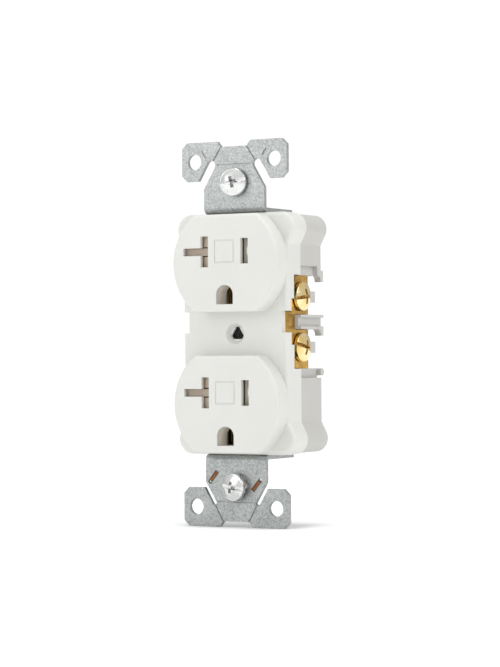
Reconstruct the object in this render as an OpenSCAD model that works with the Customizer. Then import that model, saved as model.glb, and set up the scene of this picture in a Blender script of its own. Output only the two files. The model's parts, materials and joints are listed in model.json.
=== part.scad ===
// Duplex wall outlet: two T-slot faces on a steel strap, with brass contacts and sprung shutters.
// The frame has +X to the right of the faces, +Y into the wall and +Z up.
// The origin lies on the wall-plate screw's axis, in the plane of the ears' rear faces.

/* [Strap] */
// Thickness of the strap's sheet steel
strap_t = 1.2; // [0.8:0.1:1.6]
// Width of the strap between its ears and along its legs
strap_w = 19.3; // [17:0.1:21]
// Overall length over the ears
strap_l = 106.9; // [105:0.1:110]
// Overall width over the ears
ears_w = 33.5; // [32:0.1:38]
// Height of each ear
ear_h = 10.8; // [10:0.1:11.5]
// Chamfer at the corners of the ears
ear_chamfer = 1.6; // [0.5:0.1:2.5]
// Diameter of the hole in each ear
ear_hole_d = 4.4; // [3.5:0.1:5]
// Distance between the ear holes across the strap
ear_hole_dx = 25.4; // [24:0.1:27]
// Distance of the ear holes from the strap's ends
ear_hole_in = 5.4; // [5:0.1:6]
// Width of the gap between a pair of ears, at its floor
ear_gap_w = 8.2; // [6:0.1:10]
// Depth of the gap between a pair of ears
ear_gap_d = 1.5; // [0.5:0.1:2.5]
// Slant of the strap's shoulders and of the slots beside them, in degrees
shoulder_slant = 59.2; // [55:0.1:64]
// Width of the round-ended slots beside the upper ears
upper_slot_w = 2.8; // [2:0.1:3.2]
// Width of the square-ended slots beside the lower ears
lower_slot_w = 1.3; // [0.8:0.1:2]
// Distance between the mounting screws
mount_spacing = 83.3; // [82:0.1:85]
// Length of each oblong mounting hole
mount_slot_l = 7.8; // [7:0.1:9]
// Height of each oblong mounting hole
mount_slot_h = 5.6; // [5.4:0.1:6]
// Width of the band across the back
band_w = 12; // [9:0.1:15]
// Depth of the score lines at which the ears break off
score_d = 0.3; // [0.1:0.05:0.5]
// Width of the score lines
score_w = 0.35; // [0.2:0.05:0.6]

/* [Body] */
// Width of the body between its corner posts
body_w = 33.5; // [33:0.1:36]
// Height of the body
body_h = 66.8; // [66:0.1:69]
// Radius of the round corner posts
lobe_r = 4.2; // [4:0.1:4.6]
// How far the corner posts stand out beyond the sides
lobe_out = 1.95; // [1.5:0.05:2.3]
// Depth of the white cover behind its flange
cover_depth = 7.35; // [6.5:0.05:8]
// Depth of the grey body behind the cover
body_depth = 12.2; // [11:0.1:14]
// Step from the cover's sides in to the grey body's
body_step = 0.3; // [0.1:0.05:0.6]
// Wall of the cover's sides
cover_wall = 1.6; // [1.2:0.1:2]
// Thickness of the cover's flange between the faces
flange_t = 2; // [1.6:0.1:2.4]
// Rounding of the flange's front edge
flange_round = 1.1; // [0.4:0.1:1.5]
// Wall at the back of the grey body
back_wall = 1.8; // [1.4:0.1:2.2]

/* [Faces] */
// Distance between the centres of the two faces
face_spacing = 38.9; // [38:0.1:40]
// Radius of the faces' round sides
face_r = 16.7; // [16:0.05:17]
// Height of each face over its flats
face_flat = 26.9; // [26:0.1:28]
// How far the faces stand in front of the strap
face_proud = 5.6; // [5:0.1:6.5]
// Wall of each face where the slots go through
face_wall = 1.2; // [1:0.1:1.6]
// Rounding of the faces' front edge
face_round = 0.8; // [0.3:0.1:1.2]
// Height of the blade slots' centre line above the face's centre
blade_rise = 3.2; // [2.5:0.1:3.6]
// Distance between the two upright slots
slot_dx = 12.7; // [12.2:0.1:13.2]
// Width of the slots
slot_w = 2.35; // [2:0.05:2.6]
// Height of the line slot
line_slot_h = 7; // [6.6:0.1:8]
// Height of the neutral slot's upright
neutral_slot_h = 8.5; // [7.5:0.1:8.9]
// Height of the neutral slot's flat arm
arm_h = 2.1; // [1.8:0.1:2.4]
// Reach of the flat arm from the face's centre
arm_reach = 13.1; // [12.4:0.1:13.4]
// Drop from the blade slots to the earth pin
pin_drop = 11.9; // [11.5:0.1:12.2]
// Width of the arched earth-pin hole
pin_hole_w = 5.3; // [5:0.1:5.6]
// Side of the plain square outline between the slots
badge_side = 6.3; // [5:0.1:7]

/* [Centre screw] */
// Mouth of the centre hole's countersink
centre_mouth_d = 5.8; // [5:0.1:6.5]
// Circle that rounds off the three-sided hole
centre_hole_d = 4; // [3.8:0.1:4.4]
// Distance of the three-sided hole's sides from its axis
centre_side = 1.45; // [1.2:0.05:1.8]
// Diameter of the threaded post
post_d = 6.6; // [6:0.1:7]
// Gap between the cover's flange and the post
post_gap = 2; // [1.5:0.1:4]
// Tap diameter of the thread in the post
post_thread_d = 2.8; // [2.6:0.1:2.9]
// Depth of the thread in the post
post_thread_l = 12; // [8:0.5:14]

/* [Terminals] */
// Thickness of the contact brass
brass_t = 0.8; // [0.6:0.05:1]
// How far the terminal plates lie inside the body's sides
plate_inset = 2.15; // [1.9:0.05:2.6]
// Height of the terminal plate
plate_h = 25.6; // [24:0.1:27]
// Depth of the terminal plate
plate_d = 7.6; // [7:0.1:8]
// Height of the link between the two halves of the plate
link_h = 12.4; // [11:0.1:14]
// Height of the break-off tab
tab_h = 5.6; // [5:0.1:6.4]
// Distance between the two terminal screws of a side
term_pitch = 14.1; // [13.6:0.1:14.6]
// Head diameter of the terminal screws
term_head_d = 8.2; // [7.5:0.1:8.6]
// Height of the terminal screws' heads
term_head_h = 2; // [1.6:0.1:2.2]
// Diameter of the terminal screws' thread
thread_d = 3.5; // [3:0.1:4]
// Length of the terminal screws' thread behind the plate
term_screw_l = 4.6; // [3.5:0.1:5]
// Length of the earth screw's thread behind its tab
earth_screw_l = 4; // [3:0.1:6]
// Height of the divider fin between the terminals
fin_h = 4; // [3:0.1:5]
// How far the terminal wells reach past the plate at each end
well_end = 0.15; // [0.1:0.05:0.4]

/* [Contacts] */
// Height of the blade grips
grip_h = 6.6; // [6:0.1:7]
// Width of the earth grips
pin_grip_h = 5; // [4:0.1:5.6]
// Gap between a pair of grip leaves at their pinch
blade_gap = 1.3; // [1:0.1:1.5]
// Gap between the earth grip's leaves at their pinch
pin_gap = 4.5; // [4.2:0.1:4.7]

/* [Shutters] */
// Travel of the shutter from closed to open
shutter_travel = 3; // [2.6:0.1:3.2]
// Thickness of the shutter
shutter_t = 2.5; // [2.2:0.1:2.8]
// Running gap around the shutter
shutter_gap = 0.3; // [0.2:0.05:0.4]
// Thickness of the shutter tray's floor
tray_t = 1; // [0.8:0.1:1.2]
// Outer diameter of the return spring
spring_d = 2.8; // [2.2:0.1:3]
// Wire of the return spring
spring_wire = 0.36; // [0.3:0.02:0.4]
// Number of turns of the return spring
spring_turns = 5; // [4:1:6]

/* [Mounting screws] */
// Head diameter of the mounting screws
mount_head_d = 7.7; // [7:0.1:8]
// Height of the mounting screws' heads
mount_head_h = 2.3; // [2:0.1:2.6]
// Length of the mounting screws under the head
mount_screw_l = 11; // [9:0.5:12.5]
// How far the upper screw sits above its hole's centre
upper_screw_shift = 0.2; // [-0.6:0.1:0.6]
// How far the lower screw sits below its hole's centre
lower_screw_shift = 0.7; // [-0.6:0.1:0.7]
// Slack angle to which the upper screw hangs to the right, in degrees
upper_screw_tilt = 9; // [0:1:10]
// Slack angle to which the lower screw hangs to the left, in degrees
lower_screw_tilt = 11; // [0:1:12]
// Width of the nylon strip that holds each mounting screw
retainer_w = 4.6; // [4.4:0.1:5]
// Height of the nylon strip
retainer_h = 10; // [9:0.1:11]
// Thickness of the nylon strip
retainer_t = 0.8; // [0.6:0.1:1]

/* [Hidden] */
$fn = 64;

// General clearances: a seat, a free gap between pieces that move apart, and a running fit
// A cut overshoots what it cuts
seat = 0.05;
free_gap = 0.3;
running = 0.05;
over = 1;

// Colours
white_plastic = [0.91, 0.91, 0.89];
grey_plastic = [0.80, 0.80, 0.78];
beige_plastic = [0.80, 0.75, 0.66];
steel = [0.66, 0.68, 0.69];
zinc = [0.80, 0.81, 0.80];
nickel = [0.76, 0.75, 0.71];
brass = [0.80, 0.62, 0.25];
bronze = [0.58, 0.34, 0.18];
green_plate = [0.16, 0.48, 0.27];
nylon = [0.93, 0.93, 0.91];

// Planes along the depth
strap_front = -strap_t;
face_front = strap_front - face_proud;
face_inner = face_front + face_wall;
flange_sink = 0.15;
flange_front = strap_front + flange_sink;
flange_back = flange_front + flange_t;
face_root = flange_front - 0.2;
part_y = flange_front + cover_depth;
back_y = part_y + body_depth;
floor_y = back_y - back_wall;

// Centres of the faces, the blade slots and the earth pins: index 0 is the upper outlet
FACE_Z = [face_spacing / 2, -face_spacing / 2];
BLADE_Z = [for (z = FACE_Z) z + blade_rise];
PIN_Z = [for (z = BLADE_Z) z - pin_drop];
blade_x = slot_dx / 2;

// Corner posts
lobe_x = body_w / 2 + lobe_out - lobe_r;
lobe_z = body_h / 2 - lobe_r;
CORNERS = [for (i = [-1, 1], k = [-1, 1]) [i * lobe_x, k * lobe_z]];
// Lean of the slants that lead out to the corner posts, in degrees
blend_lean = 28;

// Strap bends and legs
leg_z = body_h / 2 + seat;
front_bend_r = 1.6;
back_bend_r = 2;
bend_z = leg_z + front_bend_r;
taper_y0 = back_y - 3.9;
taper_y1 = taper_y0 + (strap_w - band_w) / 2;

// Terminals lie midway between the two blade lines
term_z = blade_rise;
TERM_Z = [term_z + term_pitch / 2, term_z - term_pitch / 2];
plate_x = body_w / 2 - plate_inset;
plate_y0 = part_y + 0.4;
plate_y1 = plate_y0 + plate_d;
link_d = 2;
term_y = plate_y0 + 3.2;
well_h = plate_h + 2 * well_end;
step_h = well_h + 5.2;
// Planes at which the grey moulding's stretches meet, clear of the earth pockets and inside the wells
pocket_wall = 1.4;
rear_cut_upper = PIN_Z[0] - pin_grip_h / 2 - free_gap - pocket_wall;
rear_cut_end = PIN_Z[0] + pin_grip_h / 2 + free_gap + pocket_wall / 2;
rear_cut_lower = term_z - well_h / 2 + 2.7;
thread_r = thread_d / 2;
hole_r = thread_r + running;
term_travel = 3;

// Shutters
tray_floor = face_inner + shutter_gap + shutter_t + shutter_gap;
tongue_t = 0.7;
fork_gap = arm_h / 2 + shutter_gap;
wedge_w = shutter_travel - 0.05;
wedge_lip = (wedge_w - slot_w) / 2;
slider_left = -blade_x - slot_w / 2 - wedge_lip;
slider_right = blade_x + slot_w / 2 + wedge_lip;
slider_h = max(line_slot_h, neutral_slot_h);
drum_inner_r = face_r - cover_wall;
drum_inner_flat = face_flat / 2 - cover_wall + 0.2;
spring_room = 5.6;
spring_seat_x = slider_right + spring_room;

// Mounting screws
upper_screw_z = mount_spacing / 2 + upper_screw_shift;
lower_screw_z = -mount_spacing / 2 - lower_screw_shift;
lower_screw_x = 1;
most_tilt = max(upper_screw_tilt, lower_screw_tilt);
mount_rest = free_gap + mount_head_d / 2 * sin(most_tilt) + 0.05;
retainer_y = free_gap + retainer_w / 2 * sin(most_tilt) + retainer_t / 2 + 0.05;

// Earth terminal on the strap's lower leg
earth_tab_d = 8.4;
earth_tab_h = 8.6;
earth_y = 2.4 + earth_tab_d / 2;
earth_z = -leg_z - strap_t - earth_tab_h / 2 - 0.2;

// Earth clip: its tabs stand in two slanted slots, on opposite sides of the lower mounting hole
clip_t = 0.5;
clip_slot_l = 4.2;
clip_slot_w = 1.2;
clip_slant = 51;
clip_centre = [-0.3, 0.95];
clip_at = [6.95, -0.95];

// A plate from y0 to y1 whose outline is drawn in X and Z
module plate(y0, y1) {
  translate([0, y1, 0]) rotate([90, 0, 0]) linear_extrude(y1 - y0) children();
}

// A bar from x0 to x1 whose outline is drawn in Y and Z
module bar(x0, x1) {
  translate([x0, 0, 0]) rotate([90, 0, 90]) linear_extrude(x1 - x0) children();
}

// A slab from z0 to z1 whose outline is drawn in X and Y
module slab(z0, z1) {
  translate([0, 0, z0]) linear_extrude(z1 - z0) children();
}

module rod_x(x0, x1, r) {
  translate([x0, 0, 0]) rotate([0, 90, 0]) cylinder(h = x1 - x0, r = r);
}

module rod_y(y0, y1, r) {
  translate([0, y0, 0]) rotate([-90, 0, 0]) cylinder(h = y1 - y0, r = r);
}

// A rectangle between two corners
module rect(a, b) {
  translate(a) square(b - a);
}

// A block from y0 to y1, half wide on both sides, with its two front edges rounded
module round_front(half, y0, y1, r) {
  rect([-half, y0 + r], [half, y1]);
  rect([-half + r, y0], [half - r, y0 + 2 * r]);
  for (side = [-1, 1]) translate([side * (half - r), y0 + r]) circle(r);
}

// The same rounding for an outline drawn in Y and Z
module round_front_side(half, y0, y1, r) {
  mirror([1, -1]) round_front(half, y0, y1, r);
}

// A round post from y0 to y1 with a rounded front edge
module round_front_post(radius, y0, y1, r) {
  rotate([90, 0, 0]) rotate_extrude() {
    rect([0, -y1], [radius, -y0 - r]);
    rect([0, -y0 - 2 * r], [radius - r, -y0]);
    translate([radius - r, -y0 - r]) circle(r);
  }
}

// Outline of the body with its four corner posts, drawn in by step
module body_outline(step) {
  rect([-body_w / 2 + step, -lobe_z], [body_w / 2 - step, lobe_z]);
  rect([-lobe_x, -body_h / 2 + step], [lobe_x, body_h / 2 - step]);
  for (c = CORNERS) translate(c) circle(lobe_r - step);
  lobe_blends(step);
}

// Slanted stretches that run from the straight sides out to the corner posts
module lobe_blends(step) {
  for (i = [-1, 1], k = [-1, 1]) scale([i, k]) {
    touch = [lobe_x, lobe_z] + (lobe_r - step) * [cos(blend_lean), -sin(blend_lean)];
    side_x = body_w / 2 - step;
    foot = [side_x, touch.y - (touch.x - side_x) / tan(blend_lean)];
    polygon([[lobe_x, lobe_z], [lobe_x, foot.y], foot, touch]);
  }
}

// The same stretches with a rounded front edge: a bar laid along each slant, beside its corner post
module rounded_blends(y1) {
  deep = 2.4;
  run = 5;
  y0 = flange_front;
  r = flange_round;
  for (i = [0, 1], k = [0, 1]) mirror([i, 0, 0]) mirror([0, 0, k])
    translate([lobe_x, 0, lobe_z]) rotate([0, blend_lean, 0]) translate([lobe_r, 0, 0]) slab(-run, 0) {
      rect([-deep, y0], [-r, y1]);
      rect([-deep, y0 + r], [0, y1]);
      translate([-r, y0 + r]) circle(r);
    }
}

// Outline of one face: a circle cut off by two flats
module face_outline(radius, flat) {
  intersection() {
    circle(radius);
    rect([-radius, -flat], [radius, flat]);
  }
}

module face_drum() {
  intersection() {
    round_front_post(face_r, face_front, face_root, face_round);
    bar(-face_r, face_r) round_front_side(face_flat / 2, face_front, face_root, face_round);
  }
}

// The cover's flange with its rounded front edge
module flange_body() {
  y0 = flange_front;
  y1 = flange_front + 2 * flange_round;
  plate(y1, part_y) body_outline(0);
  slab(-lobe_z, lobe_z) round_front(body_w / 2, y0, y1, flange_round);
  bar(-lobe_x, lobe_x) round_front_side(body_h / 2, y0, y1, flange_round);
  for (c = CORNERS) translate([c.x, 0, c.y]) round_front_post(lobe_r, y0, y1, flange_round);
  rounded_blends(y1);
}

// Openings of one face, drawn about the face's centre
module slot_outlines() {
  translate([0, blade_rise]) {
    translate([blade_x, 0]) square([slot_w, line_slot_h], center = true);
    translate([-blade_x, 0]) square([slot_w, neutral_slot_h], center = true);
    rect([-arm_reach, -arm_h / 2], [-blade_x, arm_h / 2]);
  }
  translate([0, blade_rise - pin_drop]) {
    circle(d = pin_hole_w);
    rect([-pin_hole_w / 2, -pin_hole_w / 2], [pin_hole_w / 2, 0]);
  }
}

// A plain square outline between the slots
module badge_outline() {
  line_w = 0.35;
  translate([0, blade_rise]) difference() {
    square(badge_side, center = true);
    square(badge_side - 2 * line_w, center = true);
  }
}

// Side cuts in the cover that show the terminal plate, its link and its break-off tab
module side_cut_outline() {
  link_y = flange_back + 0.05;
  well_y = link_y + 1.5;
  rect([flange_front - over, term_z - tab_h / 2 - well_end], [part_y, term_z + tab_h / 2 + well_end]);
  rect([link_y, term_z - link_h / 2 - well_end], [part_y, term_z + link_h / 2 + well_end]);
  rect([well_y, term_z - well_h / 2], [part_y + over, term_z + well_h / 2]);
}

module centre_hole() {
  rim = 0.7;
  rotate([-90, 0, 0]) translate([0, 0, flange_front])
    cylinder(h = flange_t - rim, d1 = centre_mouth_d, d2 = centre_hole_d);
  plate(flange_front, flange_back + over) intersection() {
    circle(d = centre_hole_d);
    rotate(90) circle(r = 2 * centre_side, $fn = 3);
  }
}

// The white cover is one moulding, drawn as its flange with the skirt and as the two faces in front of it
module front_cover() {
  post_r = lobe_r - 0.4;
  pilot_l = 5;
  color(white_plastic) difference() {
    union() {
      flange_body();
      for (z = FACE_Z) translate([0, 0, z])
        plate(face_root, flange_back) face_outline(face_r, face_flat / 2);
    }
    plate(flange_back, part_y + over) difference() {
      square([body_w - 2 * cover_wall, body_h - 2 * cover_wall], center = true);
      for (c = CORNERS) translate(c) circle(post_r);
    }
    for (z = FACE_Z) translate([0, 0, z])
      plate(face_root - over, flange_back + over) face_outline(drum_inner_r, drum_inner_flat);
    centre_hole();
    for (side = [0, 1]) mirror([side, 0, 0])
      bar(plate_x + 0.15, body_w / 2 + over) side_cut_outline();
    for (c = CORNERS) translate([c.x, 0, c.y]) rod_y(part_y - pilot_l, part_y + over, 1.25 + seat);
  }
}

module outlet_face(z) {
  badge_d = 0.12;
  color(white_plastic) translate([0, 0, z]) difference() {
    face_drum();
    plate(face_inner, face_root + over) face_outline(drum_inner_r, drum_inner_flat);
    plate(face_front - over, face_inner + over) slot_outlines();
    plate(face_front - over, face_front + badge_d) badge_outline();
  }
}

module outlet_face_upper() { outlet_face(FACE_Z[0]); }
module outlet_face_lower() { outlet_face(FACE_Z[1]); }

// Pocket for one blade grip and the arm that leads to it, on the right side, drawn in X and Z
module grip_pocket_outline(z) {
  inner_x = blade_x - 3.2;
  outer_x = plate_x + free_gap;
  rect([inner_x, z - grip_h / 2 - free_gap], [outer_x, z + grip_h / 2 + free_gap]);
  arm_end = z > term_z ? term_z + well_h / 2 - over : term_z - well_h / 2 + over;
  rect([plate_x - brass_t - free_gap, min(arm_end, z)], [outer_x, max(arm_end, z)]);
}

// Hook at the back of a wire well, from z down to z - drop, with its root up to root_z, drawn in Y and Z
module wire_hook_outline(z, drop, root_z) {
  reach = 1.4;
  inside_r = 1.9;
  difference() {
    union() {
      rect([back_y - inside_r, z - drop], [back_y + reach, z]);
      rect([back_y - inside_r, z - drop], [back_y, root_z]);
    }
    translate([back_y - inside_r, z - drop]) circle(inside_r);
  }
}

// Divider fin between the two terminals of a side, with a grooved outer edge
module divider_fin() {
  outer_x = body_w / 2 - 0.25;
  groove_d = 0.9;
  lip = 0.75;
  fin_y0 = plate_y0 + seat;
  fin_y1 = back_y + 1.4;
  difference() {
    translate([plate_x - 2.4, fin_y0, term_z - fin_h / 2])
      cube([outer_x - plate_x + 2.4, fin_y1 - fin_y0, fin_h]);
    translate([outer_x - groove_d, fin_y0 - over, term_z - fin_h / 2 + lip])
      cube([groove_d + over, fin_y1 - fin_y0 + 2 * over, fin_h - 2 * lip]);
  }
}

// One side's terminal well: a shallow step, then a deep well behind the plate
module terminal_well() {
  step_x = body_w / 2 - 1.7;
  seat_x = plate_x - brass_t - seat;
  deep_x = seat_x - 1.5;
  plate(part_y - over, back_y + over)
    rect([step_x, term_z - step_h / 2], [body_w, term_z + step_h / 2]);
  plate(part_y - over, back_y + over)
    rect([seat_x, term_z - well_h / 2], [body_w, term_z + well_h / 2]);
  plate(plate_y1 + 0.2, back_y + over)
    rect([deep_x, term_z - well_h / 2], [body_w, term_z + well_h / 2]);
  bore_x = plate_x - brass_t - term_screw_l - 1.1;
  for (z = TERM_Z) translate([0, term_y, z]) rod_x(bore_x, plate_x, thread_r + free_gap);
}

// What stands in one side's well: the fin, a wire tooth behind each screw and the hooks at the back
module well_fittings() {
  tooth_h = 3.1;
  tooth_y = plate_y1 + 1.2;
  divider_fin();
  for (z = TERM_Z) translate([plate_x - 3, tooth_y, z - tooth_h / 2])
    cube([3, back_y - tooth_y, tooth_h]);
  bar(body_w / 2 - 2.2, body_w / 2 - body_step) {
    wire_hook_outline(term_z + well_h / 2 + 1.5, 3.2, term_z + step_h / 2 + 0.5);
    wire_hook_outline(term_z - fin_h / 2 + 0.8, 2.6, term_z - fin_h / 2 + 0.8);
  }
  bead_r = 1;
  translate([0, back_y + 0.6, term_z - well_h / 2 - bead_r])
    rod_x(body_w / 2 - 2.2, body_w / 2 - body_step, bead_r);
}

// The grey moulding, which is drawn as four stretches: a middle, the upper earth pocket and two ends
module rear_moulding() {
  difference() {
    plate(part_y, back_y) body_outline(body_step);
    for (side = [0, 1]) mirror([side, 0, 0]) {
      terminal_well();
      plate(part_y - over, floor_y) for (z = BLADE_Z) grip_pocket_outline(z);
    }
    for (z = PIN_Z) translate([0, 0, z]) {
      plate(part_y - over, floor_y) square([pin_gap + 3.2, pin_grip_h + 2 * free_gap], center = true);
      rod_y(floor_y - over, back_y + over, 1.2 + seat);
    }
    rod_y(part_y - over, back_y + over, post_d / 2 + seat);
    for (c = CORNERS) translate([c.x, 0, c.y]) {
      rod_y(part_y - over, back_y + over, 1.25 + free_gap);
      rod_y(floor_y, back_y + over, 2.7 + seat);
    }
  }
  for (side = [0, 1]) mirror([side, 0, 0]) well_fittings();
}

// The stretch of the grey moulding from z0 up to z1
module rear_stretch(z0, z1) {
  color(grey_plastic) intersection() {
    rear_moulding();
    slab(z0, z1) rect([-body_w, part_y - over], [body_w, back_y + 3 * over]);
  }
}

module rear_body() { rear_stretch(rear_cut_lower, rear_cut_upper); }
module rear_socket_upper() { rear_stretch(rear_cut_upper, rear_cut_end); }
module rear_end_upper() { rear_stretch(rear_cut_end, body_h / 2); }
module rear_end_lower() { rear_stretch(-body_h / 2, rear_cut_lower); }

// A quarter of a ring, in the quadrant that dir points to
module quarter_ring(outer, inner, dir) {
  intersection() {
    difference() {
      circle(outer);
      circle(inner);
    }
    scale(dir) square(outer);
  }
}

// Side view of the strap's upper bends, leg and half band, drawn in Y and Z
module strap_side_outline() {
  leg_y0 = strap_front + front_bend_r;
  leg_y1 = back_y + strap_t - back_bend_r;
  band_z = leg_z + strap_t - back_bend_r;
  translate([leg_y0, bend_z]) quarter_ring(front_bend_r, front_bend_r - strap_t, [-1, -1]);
  rect([leg_y0, leg_z], [leg_y1, leg_z + strap_t]);
  translate([leg_y1, band_z]) quarter_ring(back_bend_r, back_bend_r - strap_t, [1, 1]);
  rect([back_y, -over], [back_y + strap_t, band_z]);
}

// Top view of the strap: the legs narrow to the band
module strap_taper_outline() {
  polygon([
    [-strap_w / 2, strap_front - over], [strap_w / 2, strap_front - over], [strap_w / 2, taper_y0],
    [band_w / 2, taper_y1], [band_w / 2, back_y + 2 * over], [-band_w / 2, back_y + 2 * over],
    [-band_w / 2, taper_y1], [-strap_w / 2, taper_y0]
  ]);
}

// The pair of ears at the end of the strap, before the slots are cut
module ears_outline() {
  e = ears_w / 2;
  c = ear_chamfer;
  z1 = strap_l / 2;
  z0 = z1 - ear_h;
  gap = ear_gap_w / 2;
  gap_top = gap + 1.2;
  polygon([
    [-e, z0 + c], [-e + c, z0], [e - c, z0], [e, z0 + c], [e, z1 - c], [e - c, z1], [gap_top, z1],
    [gap, z1 - ear_gap_d], [-gap, z1 - ear_gap_d], [-gap_top, z1], [-e + c, z1], [-e, z1 - c]
  ]);
}

// Half the neck's width where the shoulder's slant reaches height z
function neck_half(shoulder_z, z) = strap_w / 2 - (z - shoulder_z) / tan(shoulder_slant);

// The slot between an ear and the shoulder, on the right side
module ear_slot_outline(shoulder_z, end_z, slot, rounded) {
  reach = ear_h + 6;
  lead = rounded ? slot / 2 : 0;
  translate([neck_half(shoulder_z, end_z), end_z]) rotate(-shoulder_slant) {
    rect([lead, 0], [reach, slot]);
    if (rounded) translate([lead, lead]) circle(d = slot);
  }
}

// A straight score line between two points
module score_line(a, b) {
  d = b - a;
  translate(a) rotate(atan2(d.y, d.x)) translate([0, -score_w / 2]) square([norm(d), score_w]);
}

// One end of the strap, drawn as the upper end
module strap_end_outline(shoulder_z, end_z, slot, rounded) {
  difference() {
    union() {
      rect([-strap_w / 2, bend_z], [strap_w / 2, end_z]);
      ears_outline();
    }
    for (side = [-1, 1]) {
      scale([side, 1]) ear_slot_outline(shoulder_z, end_z, slot, rounded);
      translate([side * ear_hole_dx / 2, strap_l / 2 - ear_hole_in]) circle(d = ear_hole_d);
    }
    translate([0, mount_spacing / 2]) mount_slot_outline();
  }
}

// Oblong mounting hole
module mount_slot_outline() {
  straight = (mount_slot_l - mount_slot_h) / 2;
  rect([-straight, -mount_slot_h / 2], [straight, mount_slot_h / 2]);
  for (side = [-1, 1]) translate([side * straight, 0]) circle(d = mount_slot_h);
}

// Score lines from each slot's end to the gap between the ears, and one across the neck
module end_scores(shoulder_z, end_z, slot) {
  neck = neck_half(shoulder_z, end_z);
  n = [sin(shoulder_slant), cos(shoulder_slant)];
  start = [neck, end_z] + n * slot / 2;
  finish = [ear_gap_w / 2, strap_l / 2 - ear_gap_d];
  run_out = 0.6 * (finish - start) / norm(finish - start);
  across = end_z - 0.4;
  for (side = [-1, 1]) scale([side, 1]) score_line(start - run_out, finish + run_out);
  score_line([-neck, across], [neck, across]);
}

// The places of the two slanted slots, drawn about the lower mounting hole
module at_clip_slots() {
  translate(clip_centre) for (turn = [0, 180])
    rotate(turn) translate(clip_at) rotate(clip_slant) children();
}

module mounting_strap() {
  strap_end = strap_l / 2;
  upper_shoulder = strap_end - 13.15;
  upper_end = strap_end - 6.1;
  lower_shoulder = strap_end - 12.45;
  lower_end = strap_end - 6.55;
  mark = [[10.3, strap_end - 2.45], [9.05, strap_end - 4.35]];
  color(steel) difference() {
    union() {
      plate(strap_front, 0) strap_end_outline(upper_shoulder, upper_end, upper_slot_w, true);
      mirror([0, 0, 1]) plate(strap_front, 0)
        strap_end_outline(lower_shoulder, lower_end, lower_slot_w, false);
      intersection() {
        bar(-strap_w / 2, strap_w / 2) for (k = [1, -1]) scale([1, k]) strap_side_outline();
        slab(-strap_l / 2, strap_l / 2) strap_taper_outline();
      }
      translate([-strap_w / 2, earth_y - earth_tab_d / 2, -leg_z - strap_t - earth_tab_h])
        cube([strap_t, earth_tab_d, earth_tab_h + strap_t]);
    }
    plate(strap_front - over, strap_front + score_d) {
      end_scores(upper_shoulder, upper_end, upper_slot_w);
      scale([1, -1]) end_scores(lower_shoulder, lower_end, lower_slot_w);
      for (side = [-1, 1]) scale([side, 1]) score_line(mark[0], mark[1]);
    }
    plate(strap_front - over, over) translate([0, -mount_spacing / 2]) at_clip_slots()
      square([clip_slot_l, clip_slot_w], center = true);
    for (z = PIN_Z) translate([0, 0, z]) rod_y(back_y - over, back_y + strap_t + over, 1.2 + seat);
    rod_y(back_y - over, back_y + strap_t + over, 2 + seat);
    translate([0, earth_y, earth_z]) rod_x(-strap_w / 2 - over, -strap_w / 2 + strap_t + over, hole_r);
  }
}

module wallplate_post() {
  tail_d = 4;
  tail_head_h = 0.7;
  post_y0 = flange_back + post_gap;
  color(steel) difference() {
    union() {
      rod_y(post_y0, back_y, post_d / 2);
      rod_y(back_y - over, back_y + strap_t, tail_d / 2);
      rod_y(back_y + strap_t, back_y + strap_t + tail_head_h, post_d / 2);
    }
    rod_y(post_y0 - over, post_y0 + post_thread_l, post_thread_d / 2);
  }
}

// One grip leaf on the right of its blade, drawn in X and Y about the blade
module leaf_outline(gap, y_front, y_back) {
  t = brass_t;
  pinch = gap / 2;
  wide = pinch + 0.8;
  y_pinch = y_front + 2.6;
  y_root = y_pinch + 2.6;
  polygon([
    [wide, y_front], [pinch, y_pinch], [wide, y_root], [wide, y_back],
    [wide + t, y_back], [wide + t, y_root], [pinch + t, y_pinch], [wide + t, y_front]
  ]);
}

grip_front = flange_back + 1;
grip_back = floor_y - seat;

// Terminal plate with its link, tab and the arms that lead to the grips, drawn in Y and Z
module terminal_plate_outline() {
  tab_y0 = flange_back + seat;
  arm_y0 = plate_y0 + 2.4;
  split = fin_h + 2 * well_end;
  link_y0 = plate_y0 - link_d;
  rect([tab_y0, term_z - tab_h / 2], [plate_y0, term_z + tab_h / 2]);
  difference() {
    union() {
      rect([link_y0, term_z - link_h / 2], [plate_y0 + over, term_z + link_h / 2]);
      rect([plate_y0, term_z - plate_h / 2], [plate_y1, term_z + plate_h / 2]);
      rect([arm_y0, BLADE_Z[1] - grip_h / 2], [plate_y1, BLADE_Z[0] + grip_h / 2]);
    }
    rect([plate_y0, term_z - split / 2], [plate_y1 + over, term_z + split / 2]);
  }
}

// Web from the arm to the far leaf, drawn in X and Y, with the arm's own depth
module grip_web_outline() {
  far_x = blade_x - blade_gap / 2 - 0.8 - brass_t;
  rect([far_x, grip_back - brass_t], [plate_x, grip_back]);
  rect([plate_x - brass_t, plate_y0 + 2.4], [plate_x, grip_back]);
}

// Side plate shared by the line and neutral contacts, on the right side
module terminal_plate() {
  difference() {
    bar(plate_x - brass_t, plate_x) terminal_plate_outline();
    for (z = TERM_Z) translate([0, term_y, z]) rod_x(plate_x - 2 * over, plate_x + over, hole_r);
  }
}

module line_contact() {
  color(brass) {
    terminal_plate();
    for (z = BLADE_Z) slab(z - grip_h / 2, z + grip_h / 2) {
      grip_web_outline();
      translate([blade_x, 0]) for (side = [-1, 1])
        scale([side, 1]) leaf_outline(blade_gap, grip_front, grip_back);
    }
  }
}

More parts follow.
